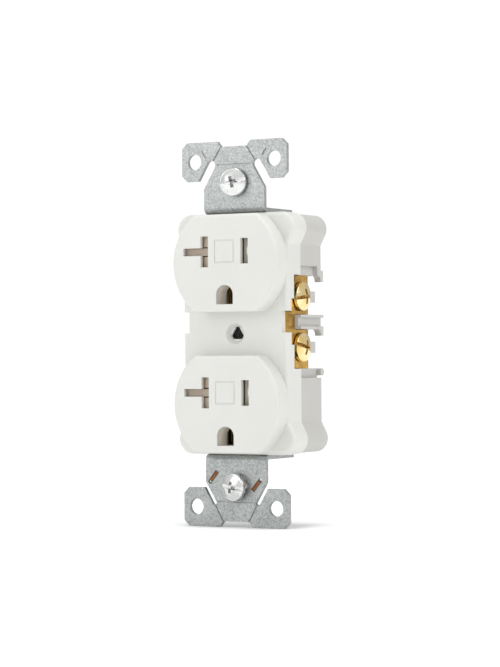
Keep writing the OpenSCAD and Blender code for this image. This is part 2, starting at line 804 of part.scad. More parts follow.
// The neutral grips also take a flat blade: the outer leaf is split, with a flat leaf on each side
module neutral_contact() {
  split = blade_gap + 2 * brass_t + 0.4;
  flat_x0 = blade_x + blade_gap / 2 + 2.2;
  flat_x1 = plate_x - brass_t - 0.6;
  color(brass) mirror([1, 0, 0]) {
    terminal_plate();
    for (z = BLADE_Z) {
      slab(z - grip_h / 2, z + grip_h / 2) {
        grip_web_outline();
        translate([blade_x, 0]) scale([-1, 1]) leaf_outline(blade_gap, grip_front, grip_back);
      }
      for (k = [-1, 1]) translate([0, 0, z + k * (grip_h + split) / 4])
        slab(-(grip_h - split) / 4, (grip_h - split) / 4) translate([blade_x, 0])
          leaf_outline(blade_gap, grip_front, grip_back);
      for (k = [-1, 1]) translate([flat_x0, grip_front, z + k * (blade_gap + brass_t) / 2 - brass_t / 2])
        cube([flat_x1 - flat_x0, grip_back - grip_front, brass_t]);
    }
  }
}

// Outline of an earth grip: two leaves on one web, drawn in X and Y about the pin
module pin_grip_outline() {
  t = brass_t;
  pinch = pin_gap / 2;
  wide = pinch + 0.8;
  y_pinch = grip_front + 2.6;
  y_root = y_pinch + 2.6;
  right = [
    [wide, grip_back - t], [wide, y_root], [pinch, y_pinch], [wide, grip_front],
    [wide + t, grip_front], [pinch + t, y_pinch], [wide + t, y_root], [wide + t, grip_back]
  ];
  left = [for (i = [len(right) - 1:-1:0]) [-right[i].x, right[i].y]];
  polygon(concat(right, left));
}

// Earth grip, riveted through the back wall to the strap
module ground_contact(z) {
  color(brass) translate([0, 0, z]) difference() {
    slab(-pin_grip_h / 2, pin_grip_h / 2) pin_grip_outline();
    rod_y(grip_back - 2 * brass_t, grip_back + over, 1.2 + seat);
  }
}

module ground_contact_upper() { ground_contact(PIN_Z[0]); }
module ground_contact_lower() { ground_contact(PIN_Z[1]); }

module ground_rivets() {
  head_r = 2;
  head_h = 0.5;
  inner_y = grip_back - brass_t;
  outer_y = back_y + strap_t;
  color(steel) for (z = PIN_Z) translate([0, 0, z]) {
    rod_y(inner_y - head_h, inner_y, head_r);
    rod_y(inner_y - head_h / 2, outer_y + head_h / 2, 1.2);
    rod_y(outer_y, outer_y + head_h, head_r);
  }
}

// A screw along Z: head from 0 up to head_h with a domed top, shank below, and a combination recess
module machine_screw(head_d, head_h, shank_r, shank_l) {
  rim_h = 0.45 * head_h;
  crown = head_h - rim_h;
  dome_r = (head_d * head_d / 4 + crown * crown) / (2 * crown);
  cross_w = 1.1;
  cross_l = 0.5 * head_d;
  slot_depth = 0.35 * head_h;
  cross_depth = 0.65 * head_h;
  difference() {
    union() {
      intersection() {
        cylinder(h = head_h, d = head_d);
        translate([0, 0, head_h - dome_r]) sphere(dome_r);
      }
      translate([0, 0, -shank_l]) cylinder(h = shank_l + head_h / 4, r = shank_r);
    }
    translate([-head_d, -cross_w / 2, head_h - slot_depth]) cube([2 * head_d, cross_w, head_h]);
    translate([-cross_w / 2, -cross_l / 2, head_h - cross_depth]) cube([cross_w, cross_l, head_h]);
    translate([-cross_l / 2, -cross_w / 2, head_h - cross_depth]) cube([cross_l, cross_w, head_h]);
  }
}

// Terminal screw on the right side, its head a free gap clear of the plate
module terminal_screw(z) {
  shank_l = free_gap + brass_t + term_screw_l;
  translate([plate_x + free_gap, term_y, z]) rotate([0, 90, 0]) rotate(25)
    machine_screw(term_head_d, term_head_h, thread_r, shank_l);
}

module line_screw_upper() { color(brass) terminal_screw(TERM_Z[0]); }
module line_screw_lower() { color(brass) terminal_screw(TERM_Z[1]); }
module neutral_screw_upper() { color(nickel) mirror([1, 0, 0]) terminal_screw(TERM_Z[0]); }
module neutral_screw_lower() { color(nickel) mirror([1, 0, 0]) terminal_screw(TERM_Z[1]); }

module ground_screw() {
  shank_l = free_gap + strap_t + earth_screw_l;
  head_d = 7.8;
  color(green_plate) translate([-strap_w / 2 - free_gap, earth_y, earth_z]) rotate([0, -90, 0])
    machine_screw(head_d, term_head_h, thread_r, shank_l);
}

// Places of the two mounting screws: each hangs at its slack angle about its nylon strip
module at_upper_screw() {
  translate([0, retainer_y, upper_screw_z]) rotate(upper_screw_tilt) children();
}

module at_lower_screw() {
  translate([lower_screw_x, retainer_y + clip_t, lower_screw_z]) rotate(-lower_screw_tilt) children();
}

// Mounting screw about the middle of its strip, which lies strip_y behind the ears' rear plane
// Its neck runs in the strip and its thinner free end goes into the box
module mounting_screw(strip_y) {
  under_head = strap_front - mount_rest - strip_y;
  free_end_l = mount_screw_l / 2;
  free_end_step = 0.2;
  color(zinc) translate([0, under_head, 0]) {
    rotate([90, 0, 0]) rotate(20)
      machine_screw(mount_head_d, mount_head_h, thread_r, mount_screw_l - free_end_l);
    rod_y(mount_screw_l - free_end_l - over, mount_screw_l, thread_r - free_end_step);
  }
}

module mounting_screw_top() { at_upper_screw() mounting_screw(retainer_y); }
module mounting_screw_bottom() { at_lower_screw() mounting_screw(retainer_y + clip_t); }

// Nylon strip behind the strap, a running fit on the screw
module screw_retainer() {
  color(nylon) difference() {
    plate(-retainer_t / 2, retainer_t / 2) square([retainer_w, retainer_h], center = true);
    rod_y(-over, over, hole_r);
  }
}

module screw_retainer_top() { at_upper_screw() screw_retainer(); }
module screw_retainer_bottom() { at_lower_screw() screw_retainer(); }

// Bronze clip behind the lower end of the strap: a ring round the mounting hole and two tabs in the slots
module ground_clip() {
  ring_w = 1.2;
  tab_l = clip_slot_l - 1.1;
  tab_w = clip_slot_w - 0.3;
  tab_shift = -0.4;
  hole = [mount_slot_l + 1.2, mount_slot_h + 1.6];
  color(bronze) translate([0, 0, -mount_spacing / 2]) {
    plate(0, clip_t) difference() {
      square(hole + [2 * ring_w, 2 * ring_w], center = true);
      square(hole, center = true);
    }
    plate(0, clip_t) for (side = [-1, 1]) translate(clip_centre + side * clip_at - [side * 1.2, 0])
      square([2.4, 1.6], center = true);
    plate(strap_front + 0.15, clip_t) at_clip_slots()
      translate([tab_shift, 0]) square([tab_l, tab_w], center = true);
  }
}

// Screws from the back through the corner posts
module assembly_screws() {
  head_h = 1.5;
  grip = floor_y - part_y + 4.5;
  color(zinc) for (c = CORNERS) translate([c.x, floor_y, c.y]) rotate([-90, 0, 0])
    machine_screw(2 * 2.7, head_h, 1.25, grip);
}

// Tray that carries a shutter, drawn about the blade slots' centre line at height z
module shutter_tray(z) {
  rail_in = slider_h / 2 + shutter_gap;
  rail_out = rail_in + 1.2;
  wall_x = spring_seat_x;
  left_x = -arm_reach - 0.3;
  tongue_y = face_inner + shutter_gap;
  tongue_end = -blade_x + slot_w / 2 - running;
  blade_hole = 0.3;
  color(beige_plastic) translate([0, 0, z]) {
    intersection() {
      union() {
        difference() {
          plate(tray_floor, tray_floor + tray_t) rect([left_x - 1, -rail_out], [wall_x + 1, rail_out]);
          plate(tray_floor - over, tray_floor + tray_t + over) {
            translate([blade_x, 0])
              square([slot_w + 2 * blade_hole, line_slot_h + 2 * blade_hole], center = true);
            translate([-blade_x, 0])
              square([slot_w + 2 * blade_hole, neutral_slot_h + 2 * blade_hole], center = true);
            rect([-arm_reach, -arm_h / 2 - blade_hole], [-blade_x, arm_h / 2 + blade_hole]);
          }
        }
        plate(face_inner, tray_floor + tray_t) {
          for (k = [-1, 1]) scale([1, k]) rect([left_x - 1, rail_in], [wall_x + 1, rail_out]);
          rect([wall_x, -rail_in], [wall_x + 1, rail_in]);
          rect([left_x - 1, -rail_in], [left_x, rail_in]);
        }
      }
      translate([0, 0, -blade_rise]) plate(face_inner, tray_floor + tray_t)
        face_outline(drum_inner_r - seat, drum_inner_flat - seat);
    }
    plate(tongue_y, tongue_y + tongue_t) rect([left_x - 0.5, -arm_h / 2], [tongue_end, arm_h / 2]);
  }
}

module shutter_tray_upper() { shutter_tray(BLADE_Z[0]); }
module shutter_tray_lower() { shutter_tray(BLADE_Z[1]); }

// Profile of a ramp that is deep on its left and high on its right, drawn in X and Y
module ramp_outline(x0, x1) {
  y0 = face_inner + shutter_gap;
  ramp_d = 1.7;
  polygon([[x0, y0 + ramp_d], [x1 - 0.6, y0], [x1, y0], [x1, y0 + shutter_t], [x0, y0 + shutter_t]]);
}

// Shutter: a forked ramp behind the neutral slot and a ramp behind the line slot, joined by a plate
module shutter_slider(z) {
  y0 = face_inner + shutter_gap;
  plate_y = y0 + 1.2;
  neutral_right = slider_left + wedge_w;
  line_left = slider_right - wedge_w;
  window_left = line_left - wedge_w;
  half = slider_h / 2;
  pip = 1;
  color(beige_plastic) translate([0, 0, z]) {
    for (k = [-1, 1]) scale([1, 1, k]) slab(fork_gap, half) ramp_outline(slider_left, neutral_right);
    slab(-half, half) ramp_outline(line_left, slider_right);
    slab(-pip, pip) rect([slider_right - 1.5, y0], [slider_right, plate_y]);
    plate(plate_y, y0 + shutter_t) difference() {
      rect([neutral_right - running, -half], [line_left + running, half]);
      rect([window_left, -line_slot_h / 2], [line_left, line_slot_h / 2]);
    }
  }
}

module shutter_slider_upper() { shutter_slider(BLADE_Z[0]); }
module shutter_slider_lower() { shutter_slider(BLADE_Z[1]); }

// A coil along X from x0 to x1, swept with a six-sided wire
module coil(x0, x1, outer_d, wire, turns) {
  sides = 6;
  per_turn = 8;
  steps = turns * per_turn;
  mean_r = outer_d / 2 - wire / 2;
  pitch = (x1 - x0 - wire) / turns;
  ring_points = [for (i = [0:steps], s = [0:sides - 1])
    let (turn = 360 * i / per_turn, a = 360 * s / sides, r = mean_r + wire / 2 * cos(a))
    [x0 + wire / 2 + pitch * i / per_turn + wire / 2 * sin(a), r * cos(turn), r * sin(turn)]];
  side_faces = [for (i = [0:steps - 1], s = [0:sides - 1])
    let (p = i * sides + s, q = i * sides + (s + 1) % sides)
    each [[p, q, p + sides], [q, q + sides, p + sides]]];
  first_cap = [for (s = [1:sides - 2]) [0, s + 1, s]];
  last_cap = [for (s = [1:sides - 2]) [steps * sides, steps * sides + s, steps * sides + s + 1]];
  echo(least_gap_between_turns = pitch - wire);
  polyhedron(ring_points, concat(side_faces, first_cap, last_cap));
}

module shutter_spring(z) {
  y = face_inner + shutter_gap + shutter_t / 2;
  end_gap = 0.1;
  coil_d = min(spring_d, shutter_t);
  color(steel) translate([0, y, z])
    coil(slider_right + end_gap, spring_seat_x - end_gap, coil_d, spring_wire, spring_turns);
}

module shutter_spring_upper() { shutter_spring(BLADE_Z[0]); }
module shutter_spring_lower() { shutter_spring(BLADE_Z[1]); }

front_cover();
outlet_face_upper();
outlet_face_lower();
rear_body();
rear_socket_upper();
rear_end_upper();
rear_end_lower();
mounting_strap();
wallplate_post();
line_contact();
neutral_contact();
ground_contact_upper();
ground_contact_lower();
ground_rivets();
line_screw_upper();
line_screw_lower();
neutral_screw_upper();
neutral_screw_lower();
ground_screw();
mounting_screw_top();
mounting_screw_bottom();
screw_retainer_top();
screw_retainer_bottom();
ground_clip();
assembly_screws();
shutter_tray_upper();
shutter_tray_lower();
shutter_slider_upper();
shutter_slider_lower();
shutter_spring_upper();
shutter_spring_lower();
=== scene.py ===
"""Dresses the duplex wall outlet: its finishes, screws, rivets, springs and other small pieces."""

import json
import math

import bpy
from mathutils import Matrix, Vector


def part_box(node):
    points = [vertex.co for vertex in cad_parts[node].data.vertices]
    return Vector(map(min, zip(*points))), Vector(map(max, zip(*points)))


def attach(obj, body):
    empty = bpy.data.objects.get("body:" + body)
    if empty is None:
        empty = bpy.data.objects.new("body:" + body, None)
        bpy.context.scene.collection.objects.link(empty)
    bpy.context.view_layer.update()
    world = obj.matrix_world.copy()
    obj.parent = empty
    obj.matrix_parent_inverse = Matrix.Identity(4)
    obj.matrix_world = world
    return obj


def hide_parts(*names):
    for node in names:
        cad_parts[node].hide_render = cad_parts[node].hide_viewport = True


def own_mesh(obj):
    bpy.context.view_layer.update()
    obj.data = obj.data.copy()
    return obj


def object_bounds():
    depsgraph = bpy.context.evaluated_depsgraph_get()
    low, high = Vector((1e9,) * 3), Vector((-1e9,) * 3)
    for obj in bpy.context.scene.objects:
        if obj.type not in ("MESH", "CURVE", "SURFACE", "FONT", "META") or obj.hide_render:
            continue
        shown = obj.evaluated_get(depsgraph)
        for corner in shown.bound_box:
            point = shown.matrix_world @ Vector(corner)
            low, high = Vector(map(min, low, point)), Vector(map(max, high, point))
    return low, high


bl_info = {
    "name": "Duplex Wall Outlet",
    "version": (1, 0, 0),
    "blender": (4, 5, 0),
    "location": "View3D > Sidebar > Outlet",
    "description": "Finishes, screws, rivets and springs of a duplex wall outlet",
    "category": "Object",
}

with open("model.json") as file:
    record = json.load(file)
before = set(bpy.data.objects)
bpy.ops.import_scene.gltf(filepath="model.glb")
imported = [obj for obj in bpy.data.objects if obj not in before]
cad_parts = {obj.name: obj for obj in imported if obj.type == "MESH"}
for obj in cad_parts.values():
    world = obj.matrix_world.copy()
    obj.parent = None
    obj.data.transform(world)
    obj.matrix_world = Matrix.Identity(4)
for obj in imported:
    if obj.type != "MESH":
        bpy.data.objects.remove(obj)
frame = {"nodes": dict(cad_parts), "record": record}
CAD_BOX = [list(corner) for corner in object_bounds()]
MM = 0.001
MOUNTS = {mount["name"]: mount for mount in frame["record"]["mounts"]}

# Screws
MACHINE_THREAD_R = 1.75 * MM
TERMINAL_HEAD_H = 2.0 * MM
MOUNTING_HEAD_D = 7.7 * MM
MOUNTING_HEAD_H = 2.3 * MM
MOUNTING_SCREW_L = 11 * MM
ASSEMBLY_HEAD_D = 5.4 * MM
ASSEMBLY_HEAD_H = 1.5 * MM
ASSEMBLY_THREAD_R = 1.25 * MM
ASSEMBLY_THREAD_DEPTH = 0.3 * MM
ASSEMBLY_SLOT_W = 0.75 * MM
HEAD_EDGE = 0.35 * MM

# Screw heads: depths as shares of the head's height, the cross as a share of its diameter
HEAD_CROWN = 0.50
SLOT_DEPTH = 0.74
CROSS_DEPTH = 0.92
CROSS_LENGTH = 0.52
MOUNTING_SLOT_DEPTH = 0.62
MOUNTING_CROSS_DEPTH = 0.78
MOUNTING_CROSS_LENGTH = 0.42

# Rivets, springs and the thread of the centre hole
RIVET_SHANK_D = 2.4 * MM
COIL_CLOSING = 0.58
PLAIN_BORE = 1.0 * MM
RIDGE_TO_PITCH = 0.28

# Sleeves of the earth holes and ribs of the cover
FACE_WALL = 1.2 * MM
SLEEVE_WALL = 0.6 * MM
SLEEVE_L = 4.4 * MM
FLANGE_BACK = 0.95 * MM
RIB_ROOT = 1.3 * MM
RIB_TIP = 0.9 * MM
RIB_GAP = 0.3 * MM
RIB_OVERHANG = 3.5 * MM

# Forks of the shutters and the leaves on them
FORK_GAP = 1.35 * MM
FORK_RAMP_W = 2.35 * MM
FORK_RAMP_D = 1.7 * MM
LEAF_FRONT_SLANT = 0.35 * MM
LEAF_THIN_EDGE = 0.06 * MM
LEAF_INSET = 0.02 * MM

# Edges that the finishes round, and how metallic the painted-shade finishes of the screw recesses are
COVER_EDGE = 0.15 * MM
BODY_EDGE = 0.04 * MM
SHUTTER_EDGE = 0.08 * MM
SHEET_EDGE = 0.12 * MM
METAL_EDGE = 0.10 * MM
WIRE_EDGE = 0.03 * MM
RECESS_METALLIC = 0.35

# Points that fall together in a form are merged
MERGE_GAP = 0.002 * MM

# The photograph's frame and the camera fitted to it, in pixels, metres and degrees
PHOTO_W = 500
PHOTO_H = 667
FOCAL_PIXELS = 2328
VIEW_AXIS_X = 234.9
VIEW_AXIS_Y = 333.8
CAMERA_PLACE = (0.32526, -0.55689, -0.00615)
CAMERA_TARGET = (0, -0.0012, 0)
CAMERA_ROLL = -0.39
SENSOR_H = 36

FLOOR_HALF = 40.0
FLOOR_DROP = 0.05 * MM


class Wire:
    """A node's output that takes arithmetic: each operator adds one Math node to its board."""

    def __init__(self, board, socket):
        self.board = board
        self.socket = socket

    def out(self, name):
        """Another output of the same node."""
        return Wire(self.board, self.socket.node.outputs[name])

    def math(self, operation, *others):
        return self.board.maths(operation, self, *others)

    def clamp(self):
        return self.math("MAXIMUM", 0.0).math("MINIMUM", 1.0)

    def span(self, low, high):
        """How far the value has come from low to high, kept between 0 and 1."""
        return ((self - low) / (high - low)).clamp()

    def __add__(self, other):
        return self.math("ADD", other)

    def __radd__(self, other):
        return self.board.maths("ADD", other, self)

    def __sub__(self, other):
        return self.math("SUBTRACT", other)

    def __rsub__(self, other):
        return self.board.maths("SUBTRACT", other, self)

    def __mul__(self, other):
        return self.math("MULTIPLY", other)

    def __rmul__(self, other):
        return self.board.maths("MULTIPLY", other, self)

    def __truediv__(self, other):
        return self.math("DIVIDE", other)

    def __rtruediv__(self, other):
        return self.board.maths("DIVIDE", other, self)

    def __gt__(self, other):
        return self.math("GREATER_THAN", other)

    def __lt__(self, other):
        return self.math("LESS_THAN", other)


class Board:
    """A node tree with one method that adds any node, sets it up and links it."""

    def __init__(self, tree):
        self.tree = tree

    def add(self, kind, settings=None, inputs=(), output=0):
        node = self.tree.nodes.new(kind)
        for name, value in (settings or {}).items():
            setattr(node, name, value)
        pairs = inputs.items() if isinstance(inputs, dict) else enumerate(inputs)
        for key, value in pairs:
            for item in value if isinstance(value, list) else [value]:
                if isinstance(item, Wire):
                    self.tree.links.new(item.socket, node.inputs[key])
                else:
                    node.inputs[key].default_value = item
        return Wire(self, node.outputs[output]) if node.outputs else None

    def maths(self, operation, *values):
        return self.add("ShaderNodeMath", {"operation": operation}, values)


class Finish(Board):
    """A material on Object coordinates, with a Principled shader."""

    def __init__(self, name, constants):
        self.material = bpy.data.materials.new(name)
        self.material.use_nodes = True
        super().__init__(self.material.node_tree)
        self.tree.nodes.clear()
        self.surface = self.add("ShaderNodeBsdfPrincipled", inputs=constants)
        self.add("ShaderNodeOutputMaterial", inputs={"Surface": self.surface})
        self.coords = self.add("ShaderNodeTexCoord").out("Object")

    def noise(self, scale, detail=2.0, rough=0.5, stretch=None):
        coords = self.coords
        if stretch:
            coords = self.add("ShaderNodeMapping", inputs={"Vector": coords, "Scale": stretch})
        inputs = {"Vector": coords, "Scale": scale, "Detail": detail, "Roughness": rough}
        return self.add("ShaderNodeTexNoise", inputs=inputs)

    def spread(self, value, low, high):
        """Stretches the part of value between low and high to the span from 0 to 1."""
        inputs = {"Value": value, "From Min": low, "From Max": high}
        return self.add("ShaderNodeMapRange", {"clamp": True}, inputs)

    def mix(self, share, first, second):
        settings = {"data_type": "RGBA", "clamp_factor": True}
        return self.add("ShaderNodeMix", settings, {0: share, 6: first, 7: second}, output=2)

    def rounded(self, radius, height, strength, distance):
        """A normal that rounds the sharp edges and carries a fine relief."""
        edge = self.add("ShaderNodeBevel", {"samples": 6}, {"Radius": radius})
        inputs = {"Strength": strength, "Distance": distance, "Height": height, "Normal": edge}
        return self.add("ShaderNodeBump", inputs=inputs)

    def feed(self, **values):
        for name, value in values.items():
            self.tree.links.new(value.socket, self.surface.socket.node.inputs[name.replace("_", " ")])
        return self.material


def shade(colour, factor):
    return tuple(min(1.0, channel * factor) for channel in colour[:3]) + (1.0,)


def moulded_plastic(name, colour, rough, edge):
    """Thermoplastic with a faint moulded grain and slow changes of tone."""
    finish = Finish(name, {"Specular IOR Level": 0.45})
    cloud = finish.noise(70, detail=3)
    grain = finish.noise(2600, detail=3, rough=0.6)
    speck = finish.spread(finish.noise(900), 0.62, 0.8)
    tone = finish.mix(finish.spread(cloud, 0.3, 0.7), shade(colour, 0.975), shade(colour, 1.015))
    tone = finish.mix(speck * 0.05, tone, shade(colour, 0.8))
    return finish.feed(
        Base_Color=tone,
        Roughness=grain * 0.16 + (rough - 0.08),
        Normal=finish.rounded(edge, grain, strength=0.10, distance=0.02 * MM),
    )


def galvanised_sheet(name, dark, light):
    """Zinc-coated steel: small crystals, rolling streaks and a fine pitted relief."""
    finish = Finish(name, {})
    crystals = finish.add("ShaderNodeTexVoronoi", inputs={"Vector": finish.coords, "Scale": 2300.0})
    crystal = finish.add("ShaderNodeSeparateColor", inputs={0: crystals.out("Color")})
    grain = finish.noise(2900, detail=4, rough=0.75)
    streak = finish.noise(1.0, detail=3, rough=0.6, stretch=(3200, 3200, 260))
    cloud = finish.noise(140, detail=3)
    share = crystal * 0.26 + finish.spread(grain, 0.3, 0.7) * 0.52 + streak * 0.20 + cloud * 0.16 - 0.08
    return finish.feed(
        Base_Color=finish.mix(share, dark, light),
        Metallic=grain * 0.2 + 0.75,
        Roughness=crystal * 0.10 + grain * 0.16 + 0.32,
        Normal=finish.rounded(SHEET_EDGE, grain + crystal * 0.5, strength=0.35, distance=0.03 * MM),
    )


def plated_metal(name, dark, light, rough, edge=METAL_EDGE, bare=1.0):
    """Turned or stamped metal with fine drawing marks and faint tarnish; bare says how metallic it is."""
    finish = Finish(name, {})
    drawn = finish.noise(1.0, detail=3, rough=0.6, stretch=(500, 4200, 4200))
    grain = finish.noise(3200, detail=3, rough=0.6)
    tarnish = finish.spread(finish.noise(240, detail=4, rough=0.6), 0.42, 0.78)
    tone = finish.mix(tarnish, light, dark)
    return finish.feed(
        Base_Color=finish.mix(finish.spread(grain, 0.3, 0.7) * 0.35, tone, dark),
        Metallic=bare - tarnish * 0.1,
        Roughness=drawn * 0.10 + tarnish * 0.12 + rough,
        Normal=finish.rounded(edge, drawn * 0.6 + grain * 0.4, strength=0.15, distance=0.015 * MM),
    )


def colour_prop(name, description, default):
    return bpy.props.FloatVectorProperty(
        name=name, description=description, default=default, size=4, min=0.0, max=1.0, subtype="COLOR"
    )


def length_prop(name, description, default):
    return bpy.props.FloatProperty(
        name=name, description=description, default=default, unit="LENGTH", precision=5
    )


class OutletColours(bpy.types.PropertyGroup):
    """Colours of the outlet's finishes."""

    cover: colour_prop("Cover", "White cover", (0.69, 0.695, 0.66, 1))
    body: colour_prop("Body", "Grey rear body", (0.52, 0.515, 0.49, 1))
    # Painted light: the leaves' lightened copy of this colour and the pale shutter colour below are lighter
    # than the trays' beige plastic, against the shade inside the slots and earth holes
    shutter: colour_prop("Trays", "Beige shutter trays; leaves are lighter", (0.43, 0.355, 0.28, 1))
    slider: colour_prop("Shutters", "Pale beige shutters and sleeves", (0.90, 0.85, 0.76, 1))
    strip: colour_prop("Strips", "Nylon strips of the mounting screws", (0.84, 0.84, 0.81, 1))
    steel_dark: colour_prop("Strap, dark", "Dark grain of the galvanised strap", (0.12, 0.13, 0.13, 1))
    steel_light: colour_prop("Strap, light", "Light grain of the galvanised strap", (0.70, 0.725, 0.715, 1))
    # Painted shade: this near-black darkens the threaded post and its thread in the deep centre hole, and the
    # neutral screws' cross recess
    post_painted_shade: colour_prop("Post", "Oiled steel of the threaded post", (0.05, 0.055, 0.055, 1))
    brass_dark: colour_prop("Brass, dark", "Tarnish on the brass", (0.28, 0.14, 0.025, 1))
    brass_light: colour_prop("Brass, light", "Stamped brass", (0.82, 0.51, 0.115, 1))
    brass_screw: colour_prop("Brass screws", "Bright brass of the screws", (1.0, 0.86, 0.52, 1))
    zinc: colour_prop("Zinc", "Plating of the mounting screws", (0.83, 0.84, 0.83, 1))
    nickel: colour_prop("Nickel", "Plating of the neutral screws", (0.72, 0.70, 0.65, 1))
    bronze: colour_prop("Bronze", "Earth clip", (0.30, 0.13, 0.055, 1))
    green: colour_prop("Green", "Plating of the earth screw", (0.05, 0.30, 0.10, 1))
    spring: colour_prop("Spring", "Spring wire", (0.62, 0.63, 0.64, 1))
    floor: colour_prop("Floor", "Pale floor", (0.94, 0.94, 0.94, 1))


class OutletSizes(bpy.types.PropertyGroup):
    """Sizes of the outlet's screws, rivets, springs and earth holes."""

    thread_pitch: length_prop("Thread pitch", "Pitch of every screw thread", 0.79 * MM)
    thread_depth: length_prop("Thread depth", "Depth of the machine screws' threads", 0.42 * MM)
    slot_width: length_prop("Slot width", "Width of the machine screws' slots", 1.0 * MM)
    rivet_crown: length_prop("Rivet crown", "Rise of the rivets' domed heads", 0.5 * MM)
    earth_hole: length_prop("Earth hole", "Width of the arched earth-pin holes", 5.3 * MM)
    spring_wire: length_prop("Spring wire", "Diameter of the shutter springs' wire", 0.36 * MM)
    spring_turns: bpy.props.FloatProperty(
        name="Spring turns", description="Turns of each shutter spring", default=5.0, min=3.0, max=8.0
    )


def colours():
    return bpy.context.scene.outlet_colours


def sizes():
    return bpy.context.scene.outlet_sizes


def finish_for(name):
    """One of the outlet's finishes, made when it is first asked for."""
    if name in bpy.data.materials:
        return bpy.data.materials[name]
    c = colours()
    recipes = {
        "outlet_white": (moulded_plastic, c.cover, 0.42, COVER_EDGE),
        "outlet_grey": (moulded_plastic, c.body, 0.48, BODY_EDGE),
        "outlet_beige": (moulded_plastic, c.shutter, 0.50, SHUTTER_EDGE),
        # Painted light: lighter copies of the shutter plastic for the leaves, the shutters and the earth
        # sleeves, against the shade inside the slots and holes
        "outlet_light_beige": (moulded_plastic, shade(c.shutter, 1.3), 0.50, SHUTTER_EDGE),
        "outlet_pale_beige": (moulded_plastic, c.slider, 0.50, SHUTTER_EDGE),
        "outlet_nylon": (moulded_plastic, c.strip, 0.45, SHUTTER_EDGE),
        "outlet_galvanised": (galvanised_sheet, c.steel_dark, c.steel_light),
        # Painted shade: near-black steel for the centre hole's post and thread and for the neutral screws'
        # cross recess
        "outlet_oiled_steel": (galvanised_sheet, c.post_painted_shade, shade(c.steel_light, 0.5)),
        "outlet_brass": (plated_metal, c.brass_dark, c.brass_light, 0.15),
        "outlet_bright_brass": (plated_metal, c.brass_light, c.brass_screw, 0.10),
        # Painted shade: the next two brass finishes and the zinc recess finish below are darker than the
        # screw heads, for the screws' slots and cross recesses
        "outlet_worn_brass": (plated_metal, c.brass_dark, c.brass_light, 0.22),
        "outlet_dark_brass": (plated_metal, c.brass_dark, shade(c.brass_light, 0.8), 0.30, METAL_EDGE, RECESS_METALLIC),
        "outlet_zinc": (plated_metal, shade(c.zinc, 0.62), c.zinc, 0.20),
        "outlet_dull_zinc": (plated_metal, shade(c.zinc, 0.25), shade(c.zinc, 0.8), 0.40, METAL_EDGE, RECESS_METALLIC),
        "outlet_nickel": (plated_metal, shade(c.nickel, 0.62), c.nickel, 0.20),
        "outlet_bronze": (plated_metal, shade(c.bronze, 0.45), c.bronze, 0.34),
        "outlet_green": (plated_metal, shade(c.green, 0.5), c.green, 0.26),
        "outlet_spring": (plated_metal, shade(c.spring, 0.5), c.spring, 0.24, WIRE_EDGE),
    }
    maker, *values = recipes[name]
    return maker(name, *values)


# Finishes of a screw's body, of its slot and of its cross recess, by material slot; the slot and recess
# finishes are darker than the heads, painted shade in the recesses
SCREW_FINISHES = {
    "brass": ("outlet_bright_brass", "outlet_worn_brass", "outlet_dark_brass"),
    "zinc": ("outlet_zinc", "outlet_zinc", "outlet_dull_zinc"),
    "nickel": ("outlet_nickel", "outlet_nickel", "outlet_oiled_steel"),
    "green_plate": ("outlet_green", "outlet_green", "outlet_green"),
}


def dress(finish_name, *nodes):
    """Gives CAD nodes a finish."""
    finish = finish_for(finish_name)
    for name in nodes:
        materials = frame["nodes"][name].data.materials
        if len(materials) == 0:
            materials.append(finish)
        for index in range(len(materials)):
            materials[index] = finish


